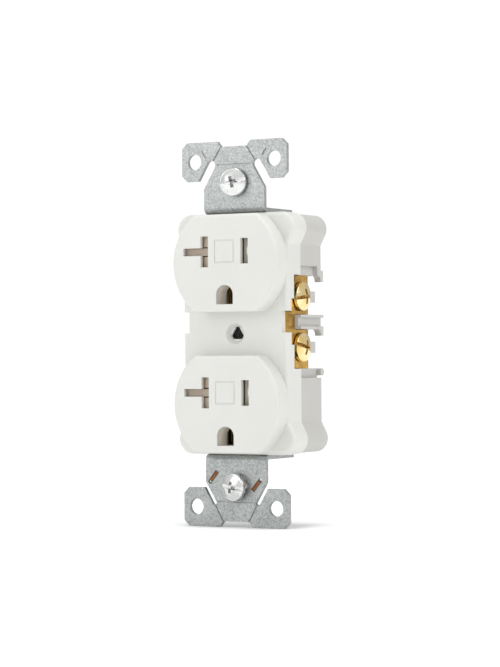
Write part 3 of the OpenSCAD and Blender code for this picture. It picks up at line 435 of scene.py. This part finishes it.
class Shape(Board):
    """A Geometry Nodes tree with named inputs for its sizes."""

    def __init__(self, name, inputs):
        tree = bpy.data.node_groups.new(name, "GeometryNodeTree")
        super().__init__(tree)
        tree.interface.new_socket("Geometry", in_out="OUTPUT", socket_type="NodeSocketGeometry")
        self.identifiers = {}
        for label, kind in inputs.items():
            item = tree.interface.new_socket(label, in_out="INPUT", socket_type=kind)
            self.identifiers[label] = item.identifier
        self.group = tree.nodes.new("NodeGroupInput")

    def given(self, label):
        return Wire(self, self.group.outputs[label])

    def at(self, x, y, z):
        return self.add("ShaderNodeCombineXYZ", inputs=[x, y, z])

    def placed(self, geometry, place):
        """Puts each point of a form at a place of its own."""
        return self.add("GeometryNodeSetPosition", inputs={"Geometry": geometry, "Position": place})

    def corners(self):
        """Where the points of a form are, with outputs X, Y and Z."""
        return self.add("ShaderNodeSeparateXYZ", inputs={0: self.add("GeometryNodeInputPosition")})

    def block(self):
        """A unit cube to be bent, and its corners."""
        return self.add("GeometryNodeMeshCube", inputs={"Size": (1.0, 1.0, 1.0)}), self.corners()

    def sheet(self, around, rows):
        """A grid to be bent into a turned form: its map runs once around and down the rows."""
        inputs = {"Size X": 1.0, "Size Y": 1.0, "Vertices X": around + 1, "Vertices Y": rows}
        grid = self.add("GeometryNodeMeshGrid", inputs=inputs)
        split = self.add("ShaderNodeSeparateXYZ", inputs={0: grid.out("UV Map")})
        return grid, split.out("X"), split.out("Y")

    def turned(self, grid, around, radius, height):
        """Bends a grid round the Z axis."""
        angle = around * math.tau
        return self.placed(grid, self.at(angle.math("COSINE") * radius, angle.math("SINE") * radius, height))

    def path(self, points):
        """A curve to be bent, and how far along it each point lies, from 0 to 1."""
        line = self.add("GeometryNodeCurvePrimitiveLine")
        curve = self.add("GeometryNodeResampleCurve", inputs={"Curve": line, "Count": points})
        return curve, self.add("GeometryNodeSplineParameter").out("Factor")

    def tube(self, path, radius, sides):
        """Sweeps a round wire along a curve."""
        ring = self.add("GeometryNodeCurvePrimitiveCircle", inputs={"Resolution": sides, "Radius": radius})
        inputs = {"Curve": path, "Profile Curve": ring, "Fill Caps": True}
        return self.add("GeometryNodeCurveToMesh", inputs=inputs)

    def stacked(self, form, spacing):
        """Two copies of a form, one above the other."""
        inputs = {"Count": 2, "Offset": self.at(0.0, 0.0, spacing)}
        row = self.add("GeometryNodeMeshLine", inputs=inputs)
        return self.add("GeometryNodeInstanceOnPoints", inputs={"Points": row, "Instance": form})

    def joined(self, *parts):
        whole = self.add("GeometryNodeJoinGeometry", inputs={0: list(reversed(parts))})
        inputs = {"Geometry": whole, "Distance": MERGE_GAP}
        return self.add("GeometryNodeMergeByDistance", inputs=inputs)

    def moved(self, geometry, shift=None, turn=None):
        inputs = {"Geometry": geometry}
        if shift is not None:
            inputs["Translation"] = shift
        if turn is not None:
            inputs["Rotation"] = turn
        return self.add("GeometryNodeTransform", inputs=inputs)

    def smooth(self, geometry, angle=0.6):
        """Smooth faces, with the edges kept sharp where two faces meet at more than an angle."""
        bend = self.add("GeometryNodeInputMeshEdgeAngle")
        soft = self.add("GeometryNodeSetShadeSmooth", {"domain": "FACE"}, {"Geometry": geometry})
        inputs = {"Geometry": soft, "Selection": bend > angle, "Shade Smooth": False}
        return self.add("GeometryNodeSetShadeSmooth", {"domain": "EDGE"}, inputs)

    def finished(self, geometry, *keep):
        """Ends the tree, with one finish on all faces but those that carry a finish to keep."""
        real = self.add("GeometryNodeRealizeInstances", inputs={"Geometry": geometry})
        inputs = {"Geometry": real, "Material": self.given("Finish")}
        share = 1.0
        for label in keep:
            share = share - self.add("GeometryNodeMaterialSelection", inputs={"Material": self.given(label)})
            inputs["Selection"] = share
        done = self.add("GeometryNodeSetMaterial", inputs=inputs)
        self.add("NodeGroupOutput", inputs={0: done})
        return self

    def piece(self, name, values):
        """Runs the tree once and returns a plain mesh object at the origin."""
        carrier = bpy.data.objects.new(name + ".tree", bpy.data.meshes.new(name + ".tree"))
        bpy.context.scene.collection.objects.link(carrier)
        modifier = carrier.modifiers.new("shape", "NODES")
        modifier.node_group = self.tree
        for label, value in values.items():
            modifier[self.identifiers[label]] = value
        bpy.context.view_layer.update()
        evaluated = carrier.evaluated_get(bpy.context.evaluated_depsgraph_get())
        mesh = bpy.data.meshes.new_from_object(evaluated)
        bpy.data.objects.remove(carrier)
        if len(mesh.polygons) == 0:
            raise RuntimeError(f"{name} came out empty")
        mesh.name = name
        made = bpy.data.objects.new(name, mesh)
        bpy.context.scene.collection.objects.link(made)
        return made


def settle(piece, body, slot, *nodes):
    """Parents a finished piece to its body's empty and hides the CAD nodes that it replaces."""
    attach(piece, body)
    if nodes:
        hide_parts(*nodes)
    return piece


def middle(node):
    """A node's centre, and its lowest and highest corners."""
    low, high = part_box(node)
    return (low + high) / 2, low, high


SCREW_INPUTS = {
    "Head Diameter": "NodeSocketFloat",
    "Head Height": "NodeSocketFloat",
    "Crown": "NodeSocketFloat",
    "Shank Radius": "NodeSocketFloat",
    "Shank Length": "NodeSocketFloat",
    "Thread Pitch": "NodeSocketFloat",
    "Thread Depth": "NodeSocketFloat",
    "Slot Width": "NodeSocketFloat",
    "Slot Depth": "NodeSocketFloat",
    "Cross Length": "NodeSocketFloat",
    "Cross Depth": "NodeSocketFloat",
    "Recess Turn": "NodeSocketFloat",
    "Turn": "NodeSocketRotation",
    "Place": "NodeSocketVector",
    "Spread X": "NodeSocketFloat",
    "Spread Z": "NodeSocketFloat",
    "Finish": "NodeSocketMaterial",
    "Slot Finish": "NodeSocketMaterial",
    "Cross Finish": "NodeSocketMaterial",
}


def screw_shape(name, thread_rows, spread=False):
    """A domed screw along Z, head up: turned head, helical thread, and a slot crossed by a tapered recess."""
    s = Shape(name, SCREW_INPUTS)
    radius = s.given("Head Diameter") * 0.5
    height, crown = s.given("Head Height"), s.given("Crown")
    shank, length = s.given("Shank Radius"), s.given("Shank Length")
    pitch = s.given("Thread Pitch")
    around, head_rows = 48, 41

    # Down its rows the head's sheet runs over the dome, the shoulder, the side and the underside
    grid, u, v = s.sheet(around, head_rows)
    dome = v.span(0.0, 0.6)
    shoulder = v.span(0.6, 0.8) * (math.pi / 2)
    side = v.span(0.8, 0.9)
    under = v.span(0.9, 1.0)
    drop = 1.0 - shoulder.math("COSINE")
    head_r = (radius - HEAD_EDGE) * dome + shoulder.math("SINE") * HEAD_EDGE - (radius - shank) * under
    head_z = height - crown * dome * dome - drop * HEAD_EDGE - (height - crown - HEAD_EDGE) * side
    head = s.turned(grid, u, head_r, head_z)

    # The thread starts below the head and tapers at the tip, which the last row closes
    shank_end, last_row, tip_taper = 0.98, 0.985, 0.9
    grid, u, v = s.sheet(around, thread_rows)
    depth = v * length / shank_end
    wave = depth / pitch + u
    tooth = (wave.math("FRACT") * 2.0 - 1.0).math("ABSOLUTE") * (depth / pitch).clamp()
    tip = ((length - depth) / pitch).clamp()
    cut = tooth + (1.0 - tip) * (1.0 - tooth) * tip_taper
    cap = 1.0 - (v > last_row)
    shank_r = (shank - s.given("Thread Depth") * cut) * cap
    thread = s.turned(grid, u, shank_r, depth.math("MINIMUM", length) * -1.0)

    def blade(long, deep, foot, finish, turn):
        """A cutter for the head, whose foot is a share of its length."""
        size = s.at(long, s.given("Slot Width"), deep * 2.0)
        cube = s.add("GeometryNodeMeshCube", inputs={"Size": size})
        corner = s.corners()
        share = (corner.out("Z") / deep * 0.5 + 0.5) * (1.0 - foot) + foot
        place = s.at(corner.out("X") * share, corner.out("Y"), corner.out("Z") + height)
        inputs = {"Geometry": s.placed(cube, place), "Material": s.given(finish)}
        return s.moved(s.add("GeometryNodeSetMaterial", inputs=inputs), turn=s.at(0.0, 0.0, turn))

    slot_radii, straight_foot, cross_foot = 2.6, 1.0, 0.15
    turn = s.given("Recess Turn")
    cross, cross_depth = s.given("Cross Length") * 2.0, s.given("Cross Depth")
    cutters = [
        blade(radius * slot_radii, s.given("Slot Depth"), straight_foot, "Slot Finish", turn),
        blade(cross, cross_depth, cross_foot, "Cross Finish", turn),
        blade(cross, cross_depth, cross_foot, "Cross Finish", turn + math.pi / 2),
    ]
    settings = {"operation": "DIFFERENCE", "solver": "EXACT"}
    inputs = {"Mesh 1": s.joined(head, thread), "Mesh 2": cutters}
    cut_screw = s.add("GeometryNodeMeshBoolean", settings, inputs)
    made = s.moved(s.smooth(cut_screw), turn=s.given("Turn"))
    if spread:
        inputs = {
            "Size X": s.given("Spread X"), "Size Y": s.given("Spread Z"), "Vertices X": 2, "Vertices Y": 2,
        }
        corners = s.moved(s.add("GeometryNodeMeshGrid", inputs=inputs), turn=(math.pi / 2, 0.0, 0.0))
        made = s.add("GeometryNodeInstanceOnPoints", inputs={"Points": corners, "Instance": made})
    return s.finished(s.moved(made, shift=s.given("Place")), "Slot Finish", "Cross Finish")


def turn_to(direction):
    """The turn that stands a Z-up form along a direction."""
    return Vector(direction).to_track_quat("Z", "Y").to_matrix().to_euler("XYZ")


def screw_values(slot, head_d, head_h, shank_r, shank_l, direction, place, recess_turn):
    """Inputs of a screw's tree, with the usual thread and recess."""
    body, groove, cross = SCREW_FINISHES[slot]
    return {
        "Head Diameter": head_d,
        "Head Height": head_h,
        "Crown": head_h * HEAD_CROWN,
        "Shank Radius": shank_r,
        "Shank Length": shank_l,
        "Thread Pitch": sizes().thread_pitch,
        "Thread Depth": sizes().thread_depth,
        "Slot Width": sizes().slot_width,
        "Slot Depth": head_h * SLOT_DEPTH,
        "Cross Length": head_d * CROSS_LENGTH,
        "Cross Depth": head_h * CROSS_DEPTH,
        "Recess Turn": recess_turn,
        "Turn": turn_to(direction),
        "Place": place,
        "Finish": finish_for(body),
        "Slot Finish": finish_for(groove),
        "Cross Finish": finish_for(cross),
    }


class OUTLET_OT_moulded(bpy.types.Operator):
    """Finish the cover, the rear body, the shutters with their trays, and the nylon strips"""

    bl_idname = "outlet.moulded"
    bl_label = "Moulded Pieces"

    def execute(self, context):
        dress("outlet_white", "front_cover", "outlet_face_upper", "outlet_face_lower")
        dress("outlet_grey", "rear_body", "rear_socket_upper", "rear_end_upper", "rear_end_lower")
        dress("outlet_beige", "shutter_tray_upper", "shutter_tray_lower")
        # The shutters take painted light: a paler beige than their trays, against the shade in the slots
        dress("outlet_pale_beige", "shutter_slider_upper", "shutter_slider_lower")
        dress("outlet_nylon", "screw_retainer_top", "screw_retainer_bottom")
        return {"FINISHED"}


class OUTLET_OT_sheet_metal(bpy.types.Operator):
    """Finish the strap, the threaded post, the brass contacts and the earth clip"""

    bl_idname = "outlet.sheet_metal"
    bl_label = "Sheet Metal"

    def execute(self, context):
        dress("outlet_galvanised", "mounting_strap")
        # The post takes painted shade: near-black steel for the deep centre hole
        dress("outlet_oiled_steel", "wallplate_post")
        dress("outlet_brass", "line_contact", "neutral_contact")
        dress("outlet_brass", "ground_contact_upper", "ground_contact_lower")
        dress("outlet_bronze", "ground_clip")
        return {"FINISHED"}


class OUTLET_OT_terminal_screws(bpy.types.Operator):
    """Make the brass, plated and green terminal screws"""

    bl_idname = "outlet.terminal_screws"
    bl_label = "Terminal Screws"

    def execute(self, context):
        shape = screw_shape("terminal_screw", thread_rows=60)
        # Node, body, material slot, side that the head faces, and turn of the recess in radians
        rows = [
            ("line_screw_upper", "line_terminal_upper", "brass", 1, 0.12),
            ("line_screw_lower", "line_terminal_lower", "brass", 1, -0.25),
            ("neutral_screw_upper", "neutral_terminal_upper", "nickel", -1, 0.40),
            ("neutral_screw_lower", "neutral_terminal_lower", "nickel", -1, 1.10),
            ("ground_screw", "earth_terminal", "green_plate", -1, 0.20),
        ]
        for node, body, slot, side, recess_turn in rows:
            centre, low, high = middle(node)
            top = high.x if side > 0 else low.x
            end = low.x if side > 0 else high.x
            under = top - side * TERMINAL_HEAD_H
            values = screw_values(
                slot, high.z - low.z, TERMINAL_HEAD_H, MACHINE_THREAD_R, abs(under - end),
                (side, 0, 0), (under, centre.y, centre.z), recess_turn,
            )
            settle(shape.piece(node + ".turned", values), body, slot, node)
        return {"FINISHED"}


class OUTLET_OT_mounting_screws(bpy.types.Operator):
    """Make the two zinc plated mounting screws"""

    bl_idname = "outlet.mounting_screws"
    bl_label = "Mounting Screws"

    def execute(self, context):
        shape = screw_shape("mounting_screw", thread_rows=110)
        for end, recess_turn in (("top", 0.25), ("bottom", -0.15)):
            mount = MOUNTS["box_screw_" + end]
            inward = Vector(mount["axis"])
            tip = Vector(mount["pos_m"]) + inward * mount["dims"]["length_mm"] * MM / 2
            under = tip - inward * MOUNTING_SCREW_L
            values = screw_values(
                "zinc", MOUNTING_HEAD_D, MOUNTING_HEAD_H, MACHINE_THREAD_R, MOUNTING_SCREW_L,
                -inward, under, recess_turn,
            )
            values["Cross Length"] = MOUNTING_HEAD_D * MOUNTING_CROSS_LENGTH
            values["Slot Depth"] = MOUNTING_HEAD_H * MOUNTING_SLOT_DEPTH
            values["Cross Depth"] = MOUNTING_HEAD_H * MOUNTING_CROSS_DEPTH
            node = "mounting_screw_" + end
            settle(shape.piece(node + ".turned", values), "box_screw_" + end, "zinc", node)
        return {"FINISHED"}


class OUTLET_OT_assembly_screws(bpy.types.Operator):
    """Make the four screws that hold the body to the cover from the back"""

    bl_idname = "outlet.assembly_screws"
    bl_label = "Assembly Screws"

    def execute(self, context):
        centre, low, high = middle("assembly_screws")
        under = high.y - ASSEMBLY_HEAD_H
        shape = screw_shape("assembly_screw", thread_rows=110, spread=True)
        values = screw_values(
            "zinc", ASSEMBLY_HEAD_D, ASSEMBLY_HEAD_H, ASSEMBLY_THREAD_R, under - low.y,
            (0, 1, 0), (centre.x, under, centre.z), 0.3,
        )
        values["Spread X"] = high.x - low.x - ASSEMBLY_HEAD_D
        values["Spread Z"] = high.z - low.z - ASSEMBLY_HEAD_D
        values["Slot Width"] = ASSEMBLY_SLOT_W
        values["Thread Depth"] = ASSEMBLY_THREAD_DEPTH
        settle(shape.piece("assembly_screws.turned", values), "base", "zinc", "assembly_screws")
        return {"FINISHED"}


class OUTLET_OT_springs(bpy.types.Operator):
    """Wind the two return springs of the shutters"""

    bl_idname = "outlet.springs"
    bl_label = "Shutter Springs"

    def execute(self, context):
        s = Shape("return_spring", {
            "Coil Diameter": "NodeSocketFloat",
            "Wire": "NodeSocketFloat",
            "Length": "NodeSocketFloat",
            "Turns": "NodeSocketFloat",
            "Place": "NodeSocketVector",
            "Finish": "NodeSocketMaterial",
        })
        wire = s.given("Wire")
        path, along = s.path(160)
        closing = along - (along * math.tau).math("SINE") * (COIL_CLOSING / math.tau)
        angle = along * s.given("Turns") * math.tau
        radius = (s.given("Coil Diameter") - wire) * 0.5
        place = s.at(
            (s.given("Length") - wire) * closing + wire * 0.5,
            angle.math("COSINE") * radius,
            angle.math("SINE") * radius,
        )
        coil = s.tube(s.placed(path, place), wire * 0.5, sides=10)
        s.finished(s.moved(s.smooth(coil), shift=s.given("Place")))
        for level in ("upper", "lower"):
            node = "shutter_spring_" + level
            centre, low, high = middle(node)
            length = high.x - low.x
            values = {
                "Coil Diameter": high.z - low.z,
                "Wire": sizes().spring_wire,
                "Length": length,
                "Turns": sizes().spring_turns,
                "Place": (low.x, centre.y, centre.z),
                "Finish": finish_for("outlet_spring"),
            }
            spring = settle(s.piece(node + ".wound", values), "base", "spring_steel", node)
            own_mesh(spring)
        return {"FINISHED"}


class OUTLET_OT_rivets(bpy.types.Operator):
    """Make the two rivets that join the earth grips to the strap"""

    bl_idname = "outlet.rivets"
    bl_label = "Rivets"

    def execute(self, context):
        s = Shape("rivet_pair", {
            "Head Diameter": "NodeSocketFloat",
            "Shank Diameter": "NodeSocketFloat",
            "Length": "NodeSocketFloat",
            "Head Height": "NodeSocketFloat",
            "Spacing": "NodeSocketFloat",
            "Place": "NodeSocketVector",
            "Finish": "NodeSocketMaterial",
        })
        # From each end to the middle the sheet runs over the dome, the underside and the shank
        grid, u, v = s.sheet(40, 49)
        radius, shank = s.given("Head Diameter") * 0.5, s.given("Shank Diameter") * 0.5
        rise = s.given("Head Height")
        straight = s.given("Length") * 0.5 - rise
        from_middle = v - 0.5
        far = from_middle.math("ABSOLUTE") * 2.0
        side = from_middle.math("SIGN") * -1.0
        dome = far.span(1.0, 0.4) * (math.pi / 2)
        under = far.span(0.4, 0.3)
        shaft = far.span(0.3, 0.0)
        turned_r = radius * dome.math("SINE") - (radius - shank) * under
        height = side * (straight + dome.math("COSINE") * rise - straight * shaft)
        rivet = s.joined(s.turned(grid, u, turned_r, height))
        rivet = s.moved(s.smooth(rivet), turn=(-math.pi / 2, 0.0, 0.0))
        s.finished(s.moved(s.stacked(rivet, s.given("Spacing")), shift=s.given("Place")))
        centre, low, high = middle("ground_rivets")
        head_d = high.x - low.x
        values = {
            "Head Diameter": head_d,
            "Shank Diameter": RIVET_SHANK_D,
            "Length": high.y - low.y,
            "Head Height": sizes().rivet_crown,
            "Spacing": high.z - low.z - head_d,
            "Place": (centre.x, centre.y, low.z + head_d / 2),
            "Finish": finish_for("outlet_galvanised"),
        }
        settle(s.piece("ground_rivets.domed", values), "base", "galvanised", "ground_rivets")
        return {"FINISHED"}


class OUTLET_OT_centre_thread(bpy.types.Operator):
    """Cut the thread that shows in the centre hole's post"""

    bl_idname = "outlet.centre_thread"
    bl_label = "Centre Thread"

    def execute(self, context):
        s = Shape("inner_thread", {
            "Bore Radius": "NodeSocketFloat",
            "Pitch": "NodeSocketFloat",
            "Length": "NodeSocketFloat",
            "Place": "NodeSocketVector",
            "Finish": "NodeSocketMaterial",
        })
        bore, pitch, length = s.given("Bore Radius"), s.given("Pitch"), s.given("Length")
        path, along = s.path(420)
        angle = along * length / pitch * math.tau
        place = s.at(angle.math("COSINE") * bore, length * along, angle.math("SINE") * bore)
        ridge = s.tube(s.placed(path, place), pitch * RIDGE_TO_PITCH, sides=6)
        s.finished(s.moved(s.smooth(ridge, 0.9), shift=s.given("Place")))
        mount = MOUNTS["wallplate_screw"]
        thread_l = mount["dims"]["length_mm"] * MM - PLAIN_BORE
        values = {
            "Bore Radius": mount["dims"]["r_mm"] * MM,
            "Pitch": sizes().thread_pitch,
            "Length": thread_l,
            "Place": (0.0, mount["pos_m"][1] - thread_l / 2, 0.0),
            # The thread takes the near-black painted shade of the centre hole
            "Finish": finish_for("outlet_oiled_steel"),
        }
        settle(s.piece("centre_thread", values), "base", "galvanised")
        return {"FINISHED"}


class OUTLET_OT_earth_sleeves(bpy.types.Operator):
    """Make the arched sleeves that stand behind the earth-pin holes"""

    bl_idname = "outlet.earth_sleeves"
    bl_label = "Earth Sleeves"

    def execute(self, context):
        s = Shape("earth_sleeves", {
            "Hole Width": "NodeSocketFloat",
            "Wall": "NodeSocketFloat",
            "Length": "NodeSocketFloat",
            "Spacing": "NodeSocketFloat",
            "Place": "NodeSocketVector",
            "Finish": "NodeSocketMaterial",
        })
        # The rows go back along the inside and forward along the outside, round above and square below
        grid, u, v = s.sheet(64, 4)
        angle = u * math.tau
        cosine, sine = angle.math("COSINE"), angle.math("SINE")
        square = 1.0 / cosine.math("ABSOLUTE").math("MAXIMUM", sine.math("ABSOLUTE"))
        arch = (square - 1.0) * (sine < 0.0) + 1.0
        row = v * 3.0
        reach = (s.given("Hole Width") * 0.5 + s.given("Wall") * (row - 1.0).clamp()) * arch
        depth = s.given("Length") * row.math("MINIMUM", 3.0 - row).clamp()
        sleeve = s.placed(grid, s.at(cosine * reach, depth, sine * reach))
        pair = s.stacked(s.smooth(s.joined(sleeve)), s.given("Spacing"))
        s.finished(s.moved(pair, shift=s.given("Place")))
        upper, lower = middle("ground_contact_upper")[0], middle("ground_contact_lower")[0]
        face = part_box("outlet_face_upper")[0].y + FACE_WALL
        values = {
            "Hole Width": sizes().earth_hole,
            "Wall": SLEEVE_WALL,
            "Length": SLEEVE_L,
            "Spacing": upper.z - lower.z,
            "Place": (0.0, face, lower.z),
            # The sleeves take painted light: pale beige, lighter than the cover, against the shade in the
            # earth holes
            "Finish": finish_for("outlet_pale_beige"),
        }
        settle(s.piece("earth_sleeves", values), "base", "white_plastic")
        return {"FINISHED"}


class OUTLET_OT_cover_ribs(bpy.types.Operator):
    """Make the tapered ribs behind the cover, between the two sides' terminals"""

    bl_idname = "outlet.cover_ribs"
    bl_label = "Cover Ribs"

    def execute(self, context):
        s = Shape("cover_rib", {
            "Root": "NodeSocketFloat",
            "Tip": "NodeSocketFloat",
            "Depth": "NodeSocketFloat",
            "Height": "NodeSocketFloat",
            "Place": "NodeSocketVector",
            "Finish": "NodeSocketMaterial",
        })
        block, corner = s.block()
        rear = corner.out("Y") + 0.5
        thickness = s.given("Root") * (1.0 - rear) + s.given("Tip") * rear
        place = s.at(
            corner.out("X") * thickness,
            s.given("Depth") * rear,
            corner.out("Z") * s.given("Height"),
        )
        s.finished(s.moved(s.placed(block, place), shift=s.given("Place")))
        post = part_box("wallplate_post")
        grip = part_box("ground_contact_upper")
        rear_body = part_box("rear_body")
        spans = {
            "top": (grip[1].z, grip[1].z + RIB_OVERHANG),
            "middle": (post[1].z + RIB_GAP, grip[0].z - RIB_GAP),
            "low": (rear_body[0].z - RIB_OVERHANG, post[0].z - RIB_GAP),
        }
        for name, (low, high) in spans.items():
            values = {
                "Root": RIB_ROOT,
                "Tip": RIB_TIP,
                "Depth": rear_body[0].y - FLANGE_BACK,
                "Height": high - low,
                "Place": (0.0, FLANGE_BACK, (low + high) / 2),
                "Finish": finish_for("outlet_white"),
            }
            settle(s.piece("cover_rib_" + name, values), "base", "white_plastic")
        return {"FINISHED"}


class OUTLET_OT_shutter_leaves(bpy.types.Operator):
    """Make the slanted leaves on the shutters' forks, which close the upright neutral slots"""

    bl_idname = "outlet.shutter_leaves"
    bl_label = "Shutter Leaves"

    def execute(self, context):
        s = Shape("fork_leaves", {
            "Width": "NodeSocketFloat",
            "Front Slant": "NodeSocketFloat",
            "Rear Slant": "NodeSocketFloat",
            "Thin Edge": "NodeSocketFloat",
            "Height": "NodeSocketFloat",
            "Spacing": "NodeSocketFloat",
            "Place": "NodeSocketVector",
            "Finish": "NodeSocketMaterial",
        })
        block, corner = s.block()
        left, rear = 0.5 - corner.out("X"), corner.out("Y") + 0.5
        slant = s.given("Front Slant") * (1.0 - rear) + s.given("Rear Slant") * rear
        place = s.at(
            (1.0 - left) * s.given("Width"),
            slant * left + s.given("Thin Edge") * rear,
            corner.out("Z") * s.given("Height"),
        )
        pair = s.stacked(s.placed(block, place), s.given("Spacing"))
        s.finished(s.moved(pair, shift=s.given("Place")))
        for level in ("upper", "lower"):
            low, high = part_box("shutter_slider_" + level)
            half = (high.z - low.z) / 2
            arm_h = half - FORK_GAP
            values = {
                "Width": FORK_RAMP_W - LEAF_INSET,
                "Front Slant": LEAF_FRONT_SLANT,
                "Rear Slant": FORK_RAMP_D,
                "Thin Edge": LEAF_THIN_EDGE,
                "Height": arm_h - 2 * LEAF_INSET,
                "Spacing": half + FORK_GAP,
                "Place": (low.x + LEAF_INSET, low.y + LEAF_INSET, low.z + arm_h / 2),
                # The leaves take painted light: the tray beige lightened, against the shade in the neutral
                # slots
                "Finish": finish_for("outlet_light_beige"),
            }
            settle(s.piece(f"shutter_leaves_{level}", values), "shutter_" + level, "beige_plastic")
        return {"FINISHED"}


def area_light(name, place, target, size, power):
    lamp = bpy.data.lights.new(name, "AREA")
    lamp.shape = "RECTANGLE"
    lamp.size, lamp.size_y = size
    lamp.energy = power
    light = bpy.data.objects.new(name, lamp)
    light.location = place
    light.rotation_euler = (Vector(target) - Vector(place)).to_track_quat("-Z", "Y").to_euler()
    bpy.context.scene.collection.objects.link(light)


class OUTLET_OT_stage(bpy.types.Operator):
    """Lay the floor and set the lights and the camera"""

    bl_idname = "outlet.stage"
    bl_label = "Stage"

    def floor(self):
        height = CAD_BOX[0][2] - FLOOR_DROP
        signs = ((-1, -1), (1, -1), (1, 1), (-1, 1))
        corners = [(x * FLOOR_HALF, y * FLOOR_HALF, height) for x, y in signs]
        mesh = bpy.data.meshes.new("pale_floor")
        mesh.from_pydata(corners, [], [(0, 1, 2, 3)])
        floor = bpy.data.objects.new("pale_floor", mesh)
        bpy.context.scene.collection.objects.link(floor)
        finish = Finish("pale_floor", {"Roughness": 0.9, "Specular IOR Level": 0.0})
        cloud = finish.noise(3)
        tone = colours().floor
        finish.feed(Base_Color=finish.mix(cloud, shade(tone, 0.99), shade(tone, 1.01)))
        mesh.materials.append(finish.material)

    def world(self):
        world = bpy.data.worlds.new("studio")
        bpy.context.scene.world = world
        world.use_nodes = True
        board = Board(world.node_tree)
        board.tree.nodes.clear()
        white = (1, 1, 1, 1)
        least, rise, fall_behind, seen_strength = 0.56, 0.36, 0.24, 1.02
        coords = board.add("ShaderNodeTexCoord").out("Generated")
        split = board.add("ShaderNodeSeparateXYZ", inputs={0: coords})
        glow = (split.out("Z") * 0.5 + 0.5).clamp()
        behind = (split.out("Y") * 0.5 + 0.5).clamp()
        strength = (glow * rise + least) * (1.0 - behind * fall_behind)
        sky = board.add("ShaderNodeBackground", inputs={"Color": white, "Strength": strength})
        seen = board.add("ShaderNodeBackground", inputs={"Color": white, "Strength": seen_strength})
        camera = board.add("ShaderNodeLightPath").out("Is Camera Ray")
        mixed = board.add("ShaderNodeMixShader", inputs={0: camera, 1: sky, 2: seen})
        board.add("ShaderNodeOutputWorld", inputs={"Surface": mixed})

    def lights(self):
        area_light("key", (-0.55, -0.75, 0.75), (0, 0, 0), size=(0.7, 0.7), power=0.6)
        area_light("card", (-0.2, -0.344, 0.16), (0, 0, 0.05), size=(0.25, 0.2), power=0.25)
        area_light("fill", (0.85, -0.05, 0.45), (0, 0, 0), size=(0.5, 0.5), power=1.9)
        sun = bpy.data.lights.new("overhead", "SUN")
        sun.energy = 1.2
        sun.angle = math.radians(20)
        bpy.context.scene.collection.objects.link(bpy.data.objects.new("overhead", sun))

    def camera(self):
        place = Vector(CAMERA_PLACE)
        forward = (Vector(CAMERA_TARGET) - place).normalized()
        right = forward.cross(Vector((0, 0, 1))).normalized()
        up = right.cross(forward)
        roll = math.radians(CAMERA_ROLL)
        turned_right = right * math.cos(roll) + up * math.sin(roll)
        turned_up = up * math.cos(roll) - right * math.sin(roll)
        data = bpy.data.cameras.new("camera")
        data.sensor_fit = "VERTICAL"
        data.sensor_height = SENSOR_H
        data.lens = FOCAL_PIXELS / PHOTO_H * SENSOR_H
        data.shift_x = (PHOTO_W / 2 - VIEW_AXIS_X) / PHOTO_H
        data.shift_y = (VIEW_AXIS_Y - PHOTO_H / 2) / PHOTO_H
        camera = bpy.data.objects.new("camera", data)
        axes = Matrix((turned_right, turned_up, -forward)).transposed().to_4x4()
        camera.matrix_world = Matrix.Translation(place) @ axes
        bpy.context.scene.collection.objects.link(camera)
        bpy.context.scene.camera = camera

    def execute(self, context):
        self.floor()
        self.world()
        self.lights()
        self.camera()
        settings = context.scene.view_settings
        settings.view_transform = "Standard"
        settings.look = "None"
        return {"FINISHED"}


PIECES = (
    OUTLET_OT_moulded,
    OUTLET_OT_sheet_metal,
    OUTLET_OT_terminal_screws,
    OUTLET_OT_mounting_screws,
    OUTLET_OT_assembly_screws,
    OUTLET_OT_rivets,
    OUTLET_OT_springs,
    OUTLET_OT_centre_thread,
    OUTLET_OT_earth_sleeves,
    OUTLET_OT_cover_ribs,
    OUTLET_OT_shutter_leaves,
    OUTLET_OT_stage,
)


class OUTLET_PT_pieces(bpy.types.Panel):
    """Lists the outlet's pieces, colours and sizes"""

    bl_idname = "OUTLET_PT_pieces"
    bl_label = "Duplex Wall Outlet"
    bl_space_type = "VIEW_3D"
    bl_region_type = "UI"
    bl_category = "Outlet"

    def draw(self, context):
        for group in (context.scene.outlet_colours, context.scene.outlet_sizes):
            for name in group.__annotations__:
                self.layout.prop(group, name)
        for piece in PIECES:
            self.layout.operator(piece.bl_idname)


CLASSES = (OutletColours, OutletSizes) + PIECES + (OUTLET_PT_pieces,)


def register():
    for cls in CLASSES:
        bpy.utils.register_class(cls)
    bpy.types.Scene.outlet_colours = bpy.props.PointerProperty(type=OutletColours)
    bpy.types.Scene.outlet_sizes = bpy.props.PointerProperty(type=OutletSizes)


def unregister():
    del bpy.types.Scene.outlet_sizes
    del bpy.types.Scene.outlet_colours
    for cls in reversed(CLASSES):
        bpy.utils.unregister_class(cls)


def main():
    register()
    for piece in PIECES:
        group, name = piece.bl_idname.split(".")
        getattr(getattr(bpy.ops, group), name)()


if __name__ == "__main__":
    main()
